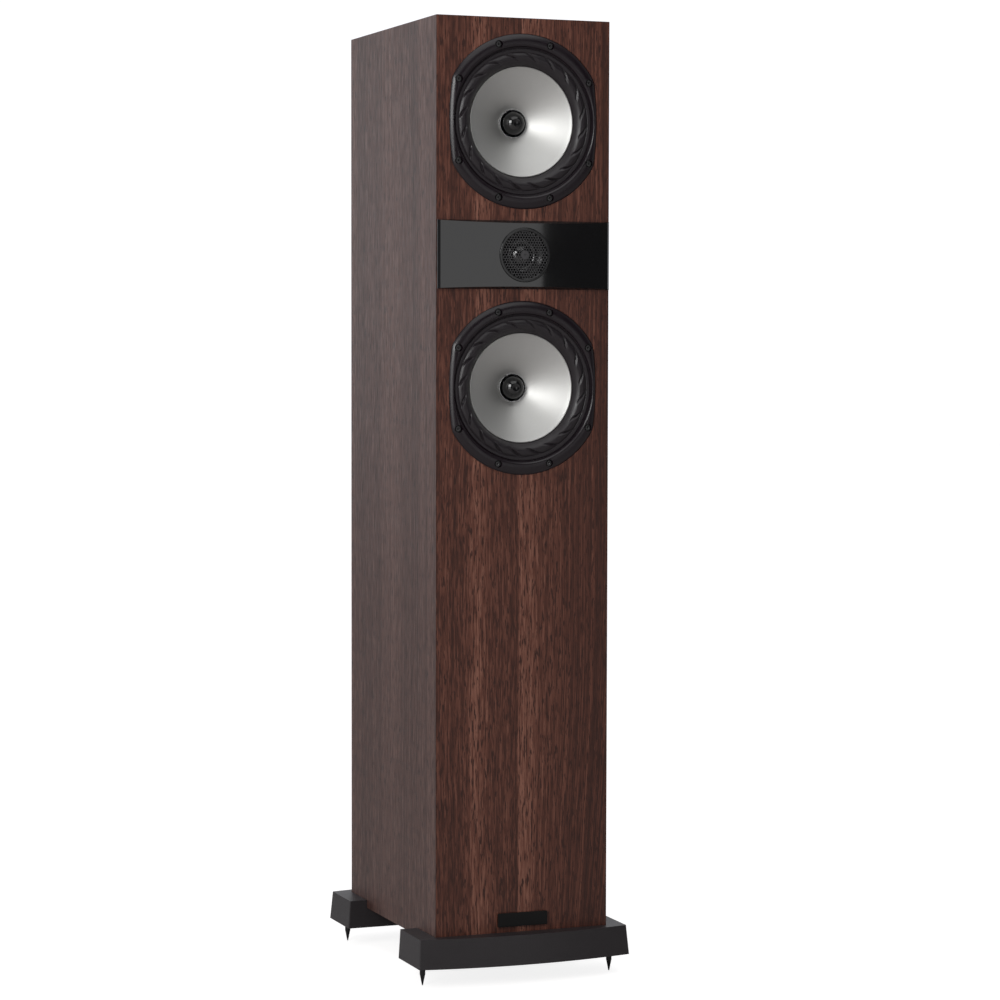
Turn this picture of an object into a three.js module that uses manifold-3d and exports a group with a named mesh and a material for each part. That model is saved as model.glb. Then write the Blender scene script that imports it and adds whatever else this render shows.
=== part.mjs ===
// Two-and-a-half-way floorstanding loudspeaker, built piece by piece.
// Millimetres, +Z up. The origin is on the floor under the middle of the cabinet,
// and the drivers face -Y.
import * as THREE from "three";
import { ConvexGeometry } from "three/addons/geometries/ConvexGeometry.js";
import { RoundedBoxGeometry } from "three/addons/geometries/RoundedBoxGeometry.js";
import { mergeVertices } from "three/addons/utils/BufferGeometryUtils.js";
import Module from "manifold-3d";

const wasm = await Module();
wasm.setup();

// Cabinet
const CABINET_WIDTH = 195;
const CABINET_DEPTH = 281;
const CABINET_BOTTOM = 44;
const CABINET_TOP = 1017.4;
const WALL = 15;
const BAFFLE_THICKNESS = 18;
const GAP = 0.3;
const UPPER_BRACE_Z = 813;
const LOWER_BRACE_Z = 500;

// Plinth bars and spikes
const BAR_BOTTOM = 22;
const BAR_TOP = 53;
const BAR_HALF_WIDTH_TOP = 117.6;
const BAR_HALF_WIDTH_BOTTOM = 119.6;
const BAR_OVERHANG = 24.8;
const BAR_FRONT_LEAN = 4.8;
const BAR_BOW_RADIUS = 560;
const BAR_REACH_IN = 56;
const BAR_CORNER = 3;
const SPIKE_X = 107;
const SPIKE_INSET = 14.5;
const SPIKE_CONE = 11.7;
const SPIKE_RADIUS = 3;
const SPIKE_TOP = 38;
const INSERT_TOP = 42;

// Drivers, all on the cabinet's centre line
const UPPER_WOOFER_Z = 909.5;
const LOWER_WOOFER_Z = 630.3;
const TWEETER_Z = 770;
const FLANGE_RADIUS = 91.3;
const FLANGE_HALF_WIDTH = 82.9;
const FLANGE_SIDE_RADIUS = 310;
const FLANGE_PROUD = 3.3;
const FLANGE_REBATE = 2.8;
const CONE_EDGE_RADIUS = 57.2;
const CONE_EDGE_DEPTH = 6;
const CONE_NECK_RADIUS = 15.4;
const CONE_NECK_DEPTH = 32;
const PLUG_RADIUS = 12.5;
const TWEETER_PANEL_WIDTH = 193.6;
const TWEETER_PANEL_HEIGHT = 71.8;
const TWEETER_PANEL_PROUD = 4.5;
const TWEETER_BEZEL_RADIUS = 28.5;
const TWEETER_FLANGE_RADIUS = 34.3;
const TWEETER_HOLE_RADIUS = 30.4;
const TWEETER_MOTOR_RADIUS = 28;

// Back of the cabinet
const PORT_Z = 430;
const PORT_RADIUS = 28;
const PORT_LENGTH = 150;
const TERMINAL_Z = 200;
const TERMINAL_WIDTH = 104;
const TERMINAL_HEIGHT = 74;
const RECESS_WIDTH = 84;
const RECESS_HEIGHT = 54;
const POST_X = 19;

// Derived places
const HALF_WIDTH = CABINET_WIDTH / 2;
const FRONT_Y = -CABINET_DEPTH / 2;
const BACK_Y = CABINET_DEPTH / 2;
const INNER_HALF_WIDTH = HALF_WIDTH - WALL - GAP;
const INNER_FRONT_Y = FRONT_Y + BAFFLE_THICKNESS + GAP;
const INNER_BACK_Y = BACK_Y - WALL - GAP;
const SPIKE_Y = BACK_Y - SPIKE_INSET;

// Facets round a full turn: driver-sized pieces, coil-sized pieces, then screws and studs
const ROUND = 32;
const ROUND_SMALL = 16;
const ROUND_SLIM = 12;

const WALNUT = { color: 0x4a2b22, roughness: 0.45, metalness: 0 };
const BOARD = { color: 0x9a7a55, roughness: 0.85, metalness: 0 };
const GLOSS_BLACK = { color: 0x0c0c0e, roughness: 0.08, metalness: 0 };
const SATIN_BLACK = { color: 0x17181a, roughness: 0.4, metalness: 0.1 };
const RUBBER = { color: 0x1b1b1c, roughness: 0.6, metalness: 0 };
const SILVER = { color: 0xc4c6c8, roughness: 0.35, metalness: 0.8 };
const CHARCOAL = { color: 0x3a3839, roughness: 0.5, metalness: 0.3 };
const STEEL = { color: 0x8d9093, roughness: 0.35, metalness: 1 };
const FERRITE = { color: 0x2b2b2d, roughness: 0.7, metalness: 0.1 };
const COPPER = { color: 0xb06a3c, roughness: 0.35, metalness: 1 };
const BRASS = { color: 0xb48a3e, roughness: 0.3, metalness: 1 };
const CLOTH = { color: 0xc9a25a, roughness: 0.9, metalness: 0 };
const WADDING = { color: 0xd8d5cc, roughness: 1, metalness: 0 };
const CIRCUIT = { color: 0x1f4a35, roughness: 0.5, metalness: 0 };

const speaker = new THREE.Group();

function addPiece(name, geometry, look, x = 0, y = 0, z = 0) {
  const piece = new THREE.Mesh(geometry, new THREE.MeshStandardMaterial(look));
  piece.name = name;
  piece.position.set(x, y, z);
  speaker.add(piece);
}

// A closed solid with shared vertices and no slivers of zero area, ready for cutting.
function toSolid(geometry) {
  const bare = geometry.clone();
  bare.deleteAttribute("normal");
  bare.deleteAttribute("uv");
  const merged = mergeVertices(bare, 1e-4);
  const corners = merged.index.array;
  const kept = [];
  for (let i = 0; i < corners.length; i += 3) {
    const [a, b, c] = corners.slice(i, i + 3);
    if (a !== b && b !== c && c !== a) kept.push(a, b, c);
  }
  return new wasm.Manifold(new wasm.Mesh({
    numProp: 3,
    vertProperties: merged.attributes.position.array,
    triVerts: new Uint32Array(kept),
  }));
}

function toGeometry(solid) {
  const mesh = solid.getMesh();
  const geometry = new THREE.BufferGeometry();
  geometry.setAttribute("position", new THREE.BufferAttribute(mesh.vertProperties, 3));
  geometry.setIndex(new THREE.BufferAttribute(mesh.triVerts, 1));
  return geometry;
}

function join(...geometries) {
  const solids = geometries.map(toSolid);
  return toGeometry(solids.reduce((whole, next) => whole.add(next)));
}

function cut(geometry, ...tools) {
  const solids = tools.map(toSolid);
  return toGeometry(solids.reduce((whole, tool) => whole.subtract(tool), toSolid(geometry)));
}

// A solid of revolution about the Y axis from [radius, y] pairs.
function turned(profile, facets = ROUND) {
  const points = profile.map(([radius, y]) => new THREE.Vector2(radius, y));
  if (THREE.ShapeUtils.area(points) < 0) points.reverse();
  if (points[0].x > 0) points.push(points[0].clone());
  return new THREE.LatheGeometry(points, facets);
}

function upright(geometry) {
  return geometry.rotateX(Math.PI / 2);
}

function box(low, high) {
  const size = high.map((value, i) => value - low[i]);
  const middle = high.map((value, i) => (value + low[i]) / 2);
  return new THREE.BoxGeometry(...size).translate(...middle);
}

// An outline in X and Z, given depth from frontY back to rearY.
function plate(outline, frontY, rearY, curveSegments = 12) {
  const settings = { depth: rearY - frontY, bevelEnabled: false, curveSegments };
  return new THREE.ExtrudeGeometry(outline, settings).rotateX(Math.PI / 2).translate(0, rearY, 0);
}

function disc(radius, frontY, rearY, facets = ROUND) {
  return turned([[0, frontY], [radius, frontY], [radius, rearY], [0, rearY]], facets);
}

function ring(inner, outer, frontY, rearY) {
  const profile = [[inner, frontY], [outer, frontY], [outer, rearY], [inner, rearY]];
  return turned(profile, ROUND_SMALL);
}

function roundedRectangle(width, height, corner) {
  const x = width / 2 - corner;
  const z = height / 2 - corner;
  const outline = new THREE.Shape();
  outline.absarc(x, z, corner, 0, Math.PI / 2);
  outline.absarc(-x, z, corner, Math.PI / 2, Math.PI);
  outline.absarc(-x, -z, corner, Math.PI, 1.5 * Math.PI);
  outline.absarc(x, -z, corner, 1.5 * Math.PI, 2 * Math.PI);
  return outline;
}

// A flat plate whose front edges slope back at 45 degrees all round.
function bevelledPlate(width, height, frontY, rearY, bevel) {
  const corners = [];
  for (const [y, inset] of [[frontY, bevel], [frontY + bevel, 0], [rearY, 0]]) {
    for (const side of [-1, 1]) {
      for (const end of [-1, 1]) {
        corners.push(new THREE.Vector3(side * (width / 2 - inset), y, end * (height / 2 - inset)));
      }
    }
  }
  return new ConvexGeometry(corners);
}

// The woofer's outline: a circle with its two sides pulled in to shallow arcs.
function flangeOutline(grow) {
  const radius = FLANGE_RADIUS + grow;
  const halfWidth = FLANGE_HALF_WIDTH + grow;
  const sideCentre = FLANGE_SIDE_RADIUS - halfWidth;
  const cornerX = (FLANGE_SIDE_RADIUS ** 2 - radius ** 2 - sideCentre ** 2) / (2 * sideCentre);
  const cornerZ = Math.sqrt(radius ** 2 - cornerX ** 2);
  const roundAngle = Math.atan2(cornerZ, cornerX);
  const sideAngle = Math.asin(cornerZ / FLANGE_SIDE_RADIUS);
  const outline = new THREE.Shape();
  outline.absarc(0, 0, radius, roundAngle, Math.PI - roundAngle);
  outline.absarc(sideCentre, 0, FLANGE_SIDE_RADIUS, Math.PI - sideAngle, Math.PI + sideAngle);
  outline.absarc(0, 0, radius, Math.PI + roundAngle, 2 * Math.PI - roundAngle);
  outline.absarc(-sideCentre, 0, FLANGE_SIDE_RADIUS, -sideAngle, sideAngle);
  return outline;
}

// Driver pieces below are drawn with Y measured back from the baffle's front face.

function basketGeometry() {
  const seatRadius = 76.2;
  const seatDepth = 1.5;
  const mouthRadius = 71.2;
  const flange = cut(
    plate(flangeOutline(0), -FLANGE_PROUD, FLANGE_REBATE, 4),
    disc(seatRadius, -FLANGE_PROUD - 1, seatDepth),
    disc(mouthRadius, seatDepth - 1, FLANGE_REBATE + 1),
  );
  const shell = turned([
    [73.9, 2], [73.9, 6.5], [51, 41.5], [46, 51.7], [30, 51.7], [30, 49], [41, 49],
    [41, 41.5], [48, 41.5], [mouthRadius, 6], [mouthRadius, 2],
  ]);
  const windows = [];
  for (let i = 0; i < 3; i++) {
    windows.push(box([-90, 12, -20], [90, 38, 20]).rotateY(i * Math.PI / 3));
  }
  return join(flange, cut(shell, ...windows));
}

// A half-roll edge: its rim sits on the basket's seat and its lip behind the cone.
function surroundGeometry() {
  const rollOuter = 72.6;
  const rollInner = 57.9;
  const rollHeight = 4.2;
  const thickness = 0.9;
  const steps = 4;
  const front = [];
  for (let i = 0; i <= steps; i++) {
    const t = i / steps;
    const radius = rollOuter + (rollInner - rollOuter) * t;
    front.push([radius, 0.3 + 5.7 * t - rollHeight * Math.sin(Math.PI * t)]);
  }
  const back = front.slice(0, steps).map(([radius, y]) => [radius, y + thickness]).reverse();
  return turned([
    [76, 0.3], ...front, [57.7, 8], [54.2, 10.1], [54.2, 10.9], [58.6, 8.5],
    ...back, [76, 1.2],
  ]);
}

function coneGeometry() {
  const thickness = 1.4;
  return turned([
    [CONE_EDGE_RADIUS, CONE_EDGE_DEPTH],
    [CONE_NECK_RADIUS, CONE_NECK_DEPTH],
    [CONE_NECK_RADIUS, CONE_NECK_DEPTH + thickness],
    [CONE_EDGE_RADIUS, CONE_EDGE_DEPTH + thickness],
  ]);
}

// A thin former with the winding wound round its rear end.
function voiceCoilGeometry() {
  return turned([
    [14.6, 30.8], [15.1, 30.8], [15.1, 49], [16, 49], [16, 61], [15.1, 61], [15.1, 62], [14.6, 62],
  ], ROUND_SMALL);
}

function spiderGeometry() {
  const inner = 15.7;
  const outer = 44.5;
  const folds = 4;
  const front = [[inner, 39.4]];
  for (let i = 1; i < folds; i++) {
    front.push([inner + (outer - inner) * i / folds, i % 2 ? 38 : 40.6]);
  }
  front.push([47.6, 40.6]);
  const back = front.map(([radius, y]) => [radius, y + 0.6]).reverse();
  return turned([...front, ...back], ROUND_SMALL);
}

function phasePlugGeometry() {
  const steps = 5;
  const profile = [];
  for (let i = 0; i <= steps; i++) {
    const angle = (Math.PI / 2) * i / steps;
    profile.push([PLUG_RADIUS * Math.sin(angle), CONE_NECK_DEPTH - PLUG_RADIUS * Math.cos(angle)]);
  }
  return turned([...profile, [PLUG_RADIUS, 51.7], [0, 51.7]], ROUND_SMALL);
}

// A pole with a vent through it, standing on a round back plate.
function yokeGeometry([vent, pole, back], [poleFace, plateFace, rear]) {
  return turned([
    [vent, poleFace], [pole, poleFace], [pole, plateFace], [back, plateFace], [back, rear], [vent, rear],
  ], ROUND_SMALL);
}

function addWoofer(prefix, z) {
  const pieces = [
    ["basket", basketGeometry(), SATIN_BLACK],
    ["surround", surroundGeometry(), RUBBER],
    ["cone", coneGeometry(), SILVER],
    ["voice_coil", voiceCoilGeometry(), COPPER],
    ["spider", spiderGeometry(), CLOTH],
    ["phase_plug", phasePlugGeometry(), GLOSS_BLACK],
    ["top_plate", ring(16.7, 42.5, 52, 58), STEEL],
    ["magnet", ring(22, 44, 58.3, 73.7), FERRITE],
    ["yoke", yokeGeometry([4, 13.6, 41], [52, 74, 80]), STEEL],
  ];
  for (const [name, geometry, look] of pieces) {
    addPiece(`${prefix}_woofer_${name}`, geometry, look, 0, FRONT_Y, z);
  }
}

function tweeterFaceplateGeometry() {
  return turned([
    [TWEETER_FLANGE_RADIUS, 0.1], [TWEETER_FLANGE_RADIUS, 3], [TWEETER_HOLE_RADIUS - 0.4, 3],
    [TWEETER_HOLE_RADIUS - 0.4, 5.3], [16.3, 5.3],
    [16.3, 4], [19, 2], [24.2, -0.7], [28.4, -0.7], [28.4, 0.1],
  ]);
}

// A shallow cap with a flat hanging rim, 0.5 mm thick all over.
function tweeterDomeGeometry() {
  const capRadius = 12.6;
  const capHeight = 5.9;
  const rimY = 4.4;
  const sphere = (capRadius ** 2 + capHeight ** 2) / (2 * capHeight);
  const reach = Math.asin(capRadius / sphere);
  const steps = 4;
  const outer = [];
  for (let i = 0; i <= steps; i++) {
    const angle = reach * i / steps;
    outer.push([sphere * Math.sin(angle), rimY - capHeight + sphere * (1 - Math.cos(angle))]);
  }
  const inner = outer.map(([radius, y]) => [radius * 0.97, y + 0.5]).reverse();
  return turned([...outer, [15.8, rimY], [15.8, rimY + 0.5], ...inner], ROUND_SMALL);
}

function addTweeter() {
  const panel = bevelledPlate(TWEETER_PANEL_WIDTH, TWEETER_PANEL_HEIGHT, -TWEETER_PANEL_PROUD, -GAP, 2);
  const bezelHole = disc(TWEETER_BEZEL_RADIUS + 0.4, -10, 5);
  const bezelInner = TWEETER_BEZEL_RADIUS - 3.6;
  const bezelFront = -5.7;
  const bezel = turned([
    [bezelInner, bezelFront + 0.8], [bezelInner + 1, bezelFront], [TWEETER_BEZEL_RADIUS - 1, bezelFront],
    [TWEETER_BEZEL_RADIUS, bezelFront + 0.8], [TWEETER_BEZEL_RADIUS, -1], [bezelInner, -1],
  ]);
  const pieces = [
    ["panel", cut(panel, bezelHole), GLOSS_BLACK],
    ["bezel", bezel, SATIN_BLACK],
    ["grille", disc(bezelInner - 0.4, -4.9, -4.2), SATIN_BLACK],
    ["faceplate", tweeterFaceplateGeometry(), SATIN_BLACK],
    ["dome", tweeterDomeGeometry(), GLOSS_BLACK],
    ["voice_coil", ring(12.3, 13, 5.2, 13), COPPER],
    ["top_plate", ring(13.5, TWEETER_MOTOR_RADIUS, 5.6, 9.6), STEEL],
    ["magnet", ring(17, TWEETER_MOTOR_RADIUS, 9.9, 22), FERRITE],
    ["yoke", yokeGeometry([3, 11.8, TWEETER_MOTOR_RADIUS - 1], [5.6, 22.3, 27]), STEEL],
  ];
  for (const [name, geometry, look] of pieces) {
    addPiece(`tweeter_${name}`, geometry, look, 0, FRONT_Y, TWEETER_Z);
  }
}

function frontBaffleGeometry() {
  const board = box(
    [-HALF_WIDTH, FRONT_Y, CABINET_BOTTOM],
    [HALF_WIDTH, FRONT_Y + BAFFLE_THICKNESS, CABINET_TOP],
  );
  const behind = BAFFLE_THICKNESS + 1;
  const tools = [
    disc(TWEETER_FLANGE_RADIUS + 0.4, -1, 3.3).translate(0, FRONT_Y, TWEETER_Z),
    disc(TWEETER_HOLE_RADIUS, -1, behind).translate(0, FRONT_Y, TWEETER_Z),
  ];
  for (const z of [UPPER_WOOFER_Z, LOWER_WOOFER_Z]) {
    const rebate = plate(flangeOutline(0.4), -1, FLANGE_REBATE + GAP, 4);
    tools.push(rebate.translate(0, FRONT_Y, z));
    tools.push(disc(74.6, -1, behind).translate(0, FRONT_Y, z));
  }
  return cut(board, ...tools);
}

function backPanelGeometry() {
  const board = box(
    [-INNER_HALF_WIDTH, BACK_Y - WALL, CABINET_BOTTOM + WALL + GAP],
    [INNER_HALF_WIDTH, BACK_Y, CABINET_TOP - WALL - GAP],
  );
  const portHole = disc(PORT_RADIUS + 3.4, BACK_Y - WALL - 1, BACK_Y + 1);
  const cupHole = roundedRectangle(RECESS_WIDTH + 6, RECESS_HEIGHT + 6, 5);
  return cut(
    board,
    portHole.translate(0, 0, PORT_Z),
    plate(cupHole, BACK_Y - WALL - 1, BACK_Y + 1, 3).translate(0, 0, TERMINAL_Z),
  );
}

// A shelf across the cabinet with four openings, so air and wires pass through.
function braceGeometry(z) {
  const shelf = box([-INNER_HALF_WIDTH, INNER_FRONT_Y, z], [INNER_HALF_WIDTH, INNER_BACK_Y, z + WALL]);
  const windows = [];
  for (const x of [-66, 12]) {
    for (const y of [-98, 12]) {
      windows.push(box([x, y, z - 1], [x + 54, y + 90, z + WALL + 1]));
    }
  }
  return cut(shelf, ...windows);
}

function addCabinet() {
  const sideFront = FRONT_Y + BAFFLE_THICKNESS + GAP;
  addPiece("front_baffle", frontBaffleGeometry(), WALNUT);
  addPiece("back_panel", backPanelGeometry(), WALNUT);
  for (const [name, side] of [["left_side_panel", -1], ["right_side_panel", 1]]) {
    const faces = [side * HALF_WIDTH, side * (HALF_WIDTH - WALL)].sort((a, b) => a - b);
    const board = box([faces[0], sideFront, CABINET_BOTTOM], [faces[1], BACK_Y, CABINET_TOP]);
    addPiece(name, board, WALNUT);
  }
  for (const [name, low] of [["top_panel", CABINET_TOP - WALL], ["bottom_panel", CABINET_BOTTOM]]) {
    const board = box([-INNER_HALF_WIDTH, sideFront, low], [INNER_HALF_WIDTH, BACK_Y, low + WALL]);
    addPiece(name, board, WALNUT);
  }
  addPiece("upper_brace", braceGeometry(UPPER_BRACE_Z), BOARD);
  addPiece("lower_brace", braceGeometry(LOWER_BRACE_Z), BOARD);
  const badge = bevelledPlate(56, 14.4, FRONT_Y - 2.8, FRONT_Y - GAP, 1.2);
  addPiece("badge_plate", badge.translate(0, 0, BAR_TOP + 13.5), SATIN_BLACK);
}

// Plan outline of a plinth bar, with the bowed outer edge towards -Y.
function barOutline() {
  const x = BAR_HALF_WIDTH_BOTTOM;
  const bowCentreY = FRONT_Y - BAR_OVERHANG + BAR_BOW_RADIUS;
  const endAngle = Math.asin((x - BAR_CORNER) / BAR_BOW_RADIUS);
  const endY = bowCentreY - BAR_BOW_RADIUS * Math.cos(endAngle);
  const innerY = FRONT_Y + BAR_REACH_IN;
  const outline = new THREE.Shape();
  outline.absarc(0, bowCentreY, BAR_BOW_RADIUS, 1.5 * Math.PI - endAngle, 1.5 * Math.PI + endAngle);
  outline.quadraticCurveTo(x, endY + 1, x, endY + BAR_CORNER + 1);
  outline.lineTo(x, innerY - BAR_CORNER);
  outline.quadraticCurveTo(x, innerY, x - BAR_CORNER, innerY);
  outline.lineTo(-x + BAR_CORNER, innerY);
  outline.quadraticCurveTo(-x, innerY, -x, innerY - BAR_CORNER);
  outline.lineTo(-x, endY + BAR_CORNER + 1);
  outline.quadraticCurveTo(-x, endY + 1, -x + BAR_CORNER, endY);
  return outline;
}

// A front plinth bar: its ends and bowed face lean in towards the top, and the cabinet
// stands in its pocket.
function plinthBarGeometry() {
  const height = BAR_TOP - BAR_BOTTOM;
  const settings = { depth: height, bevelEnabled: false, curveSegments: 6 };
  const block = new THREE.ExtrudeGeometry(barOutline(), settings);
  const places = block.attributes.position;
  const innerY = FRONT_Y + BAR_REACH_IN;
  const leanX = 1 - BAR_HALF_WIDTH_TOP / BAR_HALF_WIDTH_BOTTOM;
  const leanY = BAR_FRONT_LEAN / (BAR_OVERHANG + BAR_REACH_IN);
  for (let i = 0; i < places.count; i++) {
    const rise = places.getZ(i) / height;
    places.setX(i, places.getX(i) * (1 - leanX * rise));
    places.setY(i, innerY + (places.getY(i) - innerY) * (1 - leanY * rise));
  }
  block.translate(0, 0, BAR_BOTTOM);
  const pocket = box(
    [-HALF_WIDTH - GAP, FRONT_Y - GAP, CABINET_BOTTOM - GAP],
    [HALF_WIDTH + GAP, 0, BAR_TOP + 1],
  );
  const insertHoles = [-SPIKE_X, SPIKE_X].map((x) => {
    const hole = upright(disc(5.3, 0, INSERT_TOP + 2 - BAR_BOTTOM + 1, ROUND_SMALL));
    return hole.translate(x, -SPIKE_Y, BAR_BOTTOM - 1);
  });
  return cut(block, pocket, ...insertHoles);
}

function addFeet() {
  addPiece("front_plinth_bar", plinthBarGeometry(), CHARCOAL);
  addPiece("rear_plinth_bar", plinthBarGeometry().rotateZ(Math.PI), CHARCOAL);
  for (const [end, y] of [["front", -SPIKE_Y], ["rear", SPIKE_Y]]) {
    for (const [side, x] of [["left", -SPIKE_X], ["right", SPIKE_X]]) {
      const sleeve = upright(turned([
        [SPIKE_RADIUS + 0.25, BAR_BOTTOM], [5, BAR_BOTTOM], [5, INSERT_TOP], [SPIKE_RADIUS + 0.25, INSERT_TOP],
      ], ROUND_SLIM));
      const spike = upright(turned([
        [0, 0], [0.6, 0], [SPIKE_RADIUS, SPIKE_CONE], [SPIKE_RADIUS, SPIKE_TOP], [0, SPIKE_TOP],
      ], ROUND_SLIM));
      addPiece(`${end}_${side}_threaded_insert`, sleeve, BRASS, x, y);
      addPiece(`${end}_${side}_spike`, spike, SATIN_BLACK, x, y);
    }
  }
}

// A flared tube that opens on the back and ends free inside the cabinet.
function portTubeGeometry() {
  const outside = PORT_RADIUS + 3;
  const face = BACK_Y + 2.6;
  const innerEnd = BACK_Y - PORT_LENGTH;
  return turned([
    [PORT_RADIUS, innerEnd], [outside, innerEnd], [outside, BACK_Y + GAP], [PORT_RADIUS + 12, BACK_Y + GAP],
    [PORT_RADIUS + 12, face - 1], [PORT_RADIUS + 11, face], [PORT_RADIUS + 7, face],
    [PORT_RADIUS + 2, face - 3], [PORT_RADIUS, face - 9],
  ]);
}

function terminalCupGeometry() {
  const face = BACK_Y + 2.6;
  const floorY = BACK_Y - 18.5;
  const rim = plate(roundedRectangle(TERMINAL_WIDTH, TERMINAL_HEIGHT, 7), BACK_Y + GAP, face, 4);
  const body = plate(roundedRectangle(RECESS_WIDTH + 5, RECESS_HEIGHT + 5, 5), floorY - 2.5, BACK_Y + 1, 4);
  const hollow = plate(roundedRectangle(RECESS_WIDTH, RECESS_HEIGHT, 3), floorY, face + 1, 4);
  const holes = [-POST_X, POST_X].map((x) => disc(2.9, floorY - 4, floorY + 1, ROUND_SLIM).translate(x, 0, 0));
  return cut(join(rim, body), hollow, ...holes);
}

// Each binding post is a fixed stud, a captive clamp washer and a knob that screws down on it.
function addBindingPost(name, x, capColour) {
  const base = BACK_Y - 18.2;
  const stud = turned([
    [0, base - 14], [2.5, base - 14], [2.5, base], [6, base], [6, base + 2.2], [3, base + 2.2],
    [3, base + 21.4], [2, base + 21.4], [2, base + 8], [0, base + 8],
  ], ROUND_SLIM);
  const washer = turned([
    [3.4, base + 2.5], [6.8, base + 2.5], [6.8, base + 3.7], [3.4, base + 3.7],
  ], ROUND_SLIM);
  const knob = turned([
    [3.4, base + 4], [7.2, base + 4], [8, base + 4.8], [8, base + 19], [6.6, base + 22],
    [3.4, base + 22],
  ], ROUND_SLIM);
  const cap = { color: capColour, roughness: 0.3, metalness: 0 };
  addPiece(`${name}_post_stud`, stud, BRASS, x, 0, TERMINAL_Z);
  addPiece(`${name}_post_washer`, washer, BRASS, x, 0, TERMINAL_Z);
  addPiece(`${name}_post_knob`, knob, cap, x, 0, TERMINAL_Z);
}

function addBack() {
  addPiece("port_tube", portTubeGeometry(), SATIN_BLACK, 0, 0, PORT_Z);
  addPiece("terminal_cup", terminalCupGeometry(), SATIN_BLACK, 0, 0, TERMINAL_Z);
  addBindingPost("positive", POST_X, 0x9c1c1c);
  addBindingPost("negative", -POST_X, 0x1a1a1a);
}

function wire(points, radius) {
  const section = new THREE.Shape().absarc(0, 0, radius, 0, 2 * Math.PI);
  const extrudePath = new THREE.CatmullRomCurve3(points.map((point) => new THREE.Vector3(...point)));
  return new THREE.ExtrudeGeometry(section, { steps: 10, curveSegments: 3, extrudePath });
}

// The crossover lies on the cabinet's floor, and its leads climb to the three drivers.
function addElectrics() {
  const floorZ = CABINET_BOTTOM + WALL + GAP;
  const deckZ = floorZ + 1.9;
  addPiece("crossover_board", box([-62, -70, floorZ], [62, 80, floorZ + 1.6]), CIRCUIT);
  addPiece("woofer_inductor", upright(ring(11, 25, 0, 24)), COPPER, 30, 40, deckZ);
  addPiece("tweeter_inductor", upright(ring(7, 16, 0, 16)), COPPER, 32, -30, deckZ);
  const capacitor = disc(13, -20, 20, ROUND_SMALL);
  addPiece("tweeter_capacitor", capacitor, RUBBER, -30, -35, deckZ + 13);
  const trunk = wire([[-40, 45, deckZ], [-40, 50, 200], [-40, 50, 480], [-40, 50, 700], [-44, 20, 880]], 3);
  const branches = [LOWER_WOOFER_Z, TWEETER_Z].map((z) => wire([
    [-40, 49, z - 60], [-46, 20, z - 45], [-52, -30, z - 30], [-52, -70, z - 22],
  ], 1.8));
  const last = wire([[-43, 26, 860], [-50, -10, 876], [-54, -50, 880], [-54, -80, 876]], 1.8);
  addPiece("wiring_harness", join(trunk, ...branches, last), RUBBER);
  const wadding = new RoundedBoxGeometry(156, 30, 290, 1, 8);
  addPiece("damping_wadding", wadding, WADDING, 0, INNER_BACK_Y - GAP - 15, 664);
}

addCabinet();
addWoofer("upper", UPPER_WOOFER_Z);
addWoofer("lower", LOWER_WOOFER_Z);
addTweeter();
addFeet();
addBack();
addElectrics();

export default speaker;
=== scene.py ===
# Finished look of a floorstanding loudspeaker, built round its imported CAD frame.
# Metres, +Z up. The drivers face -Y. Profiles and small sizes are in millimetres.
from itertools import product
from math import asin, cos, hypot, pi, radians, sin, sqrt, tan

import bmesh
import bpy
from mathutils import Matrix, Vector, noise


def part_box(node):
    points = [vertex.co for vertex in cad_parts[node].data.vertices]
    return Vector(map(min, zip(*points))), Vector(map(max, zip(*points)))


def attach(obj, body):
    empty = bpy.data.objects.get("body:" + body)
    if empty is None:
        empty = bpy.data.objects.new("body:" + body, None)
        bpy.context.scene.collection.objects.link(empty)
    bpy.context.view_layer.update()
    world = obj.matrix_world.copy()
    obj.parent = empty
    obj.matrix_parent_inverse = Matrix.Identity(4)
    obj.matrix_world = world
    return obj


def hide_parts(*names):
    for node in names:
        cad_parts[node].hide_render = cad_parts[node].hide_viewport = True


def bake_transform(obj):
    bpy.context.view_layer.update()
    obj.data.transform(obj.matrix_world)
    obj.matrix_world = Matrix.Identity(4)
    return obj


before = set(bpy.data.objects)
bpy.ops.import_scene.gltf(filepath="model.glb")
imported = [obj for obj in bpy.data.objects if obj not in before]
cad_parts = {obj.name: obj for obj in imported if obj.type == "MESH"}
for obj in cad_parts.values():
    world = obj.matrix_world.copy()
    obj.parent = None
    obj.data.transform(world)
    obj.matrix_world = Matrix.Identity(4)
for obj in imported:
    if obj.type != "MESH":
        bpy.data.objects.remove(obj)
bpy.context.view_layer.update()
MM = 0.001
WOOFERS = ("upper", "lower")


def middle(node, **levels):
    """The middle of a CAD node, with any of its coordinates given a level of their own."""
    low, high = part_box(node)
    place = (low + high) / 2
    for axis, level in levels.items():
        setattr(place, axis, level)
    return place


def spans(node):
    """Width, depth and height of a CAD node in mm."""
    low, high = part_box(node)
    return (high - low) / MM


FRONT_Y, BAFFLE_BACK = (corner.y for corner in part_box("front_baffle"))
CABINET_BOTTOM, CABINET_TOP = (corner.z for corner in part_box("front_baffle"))
HALF_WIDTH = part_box("front_baffle")[1].x
BACK_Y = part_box("back_panel")[1].y
WALL = spans("left_side_panel").x * MM

# ---- materials


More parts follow.
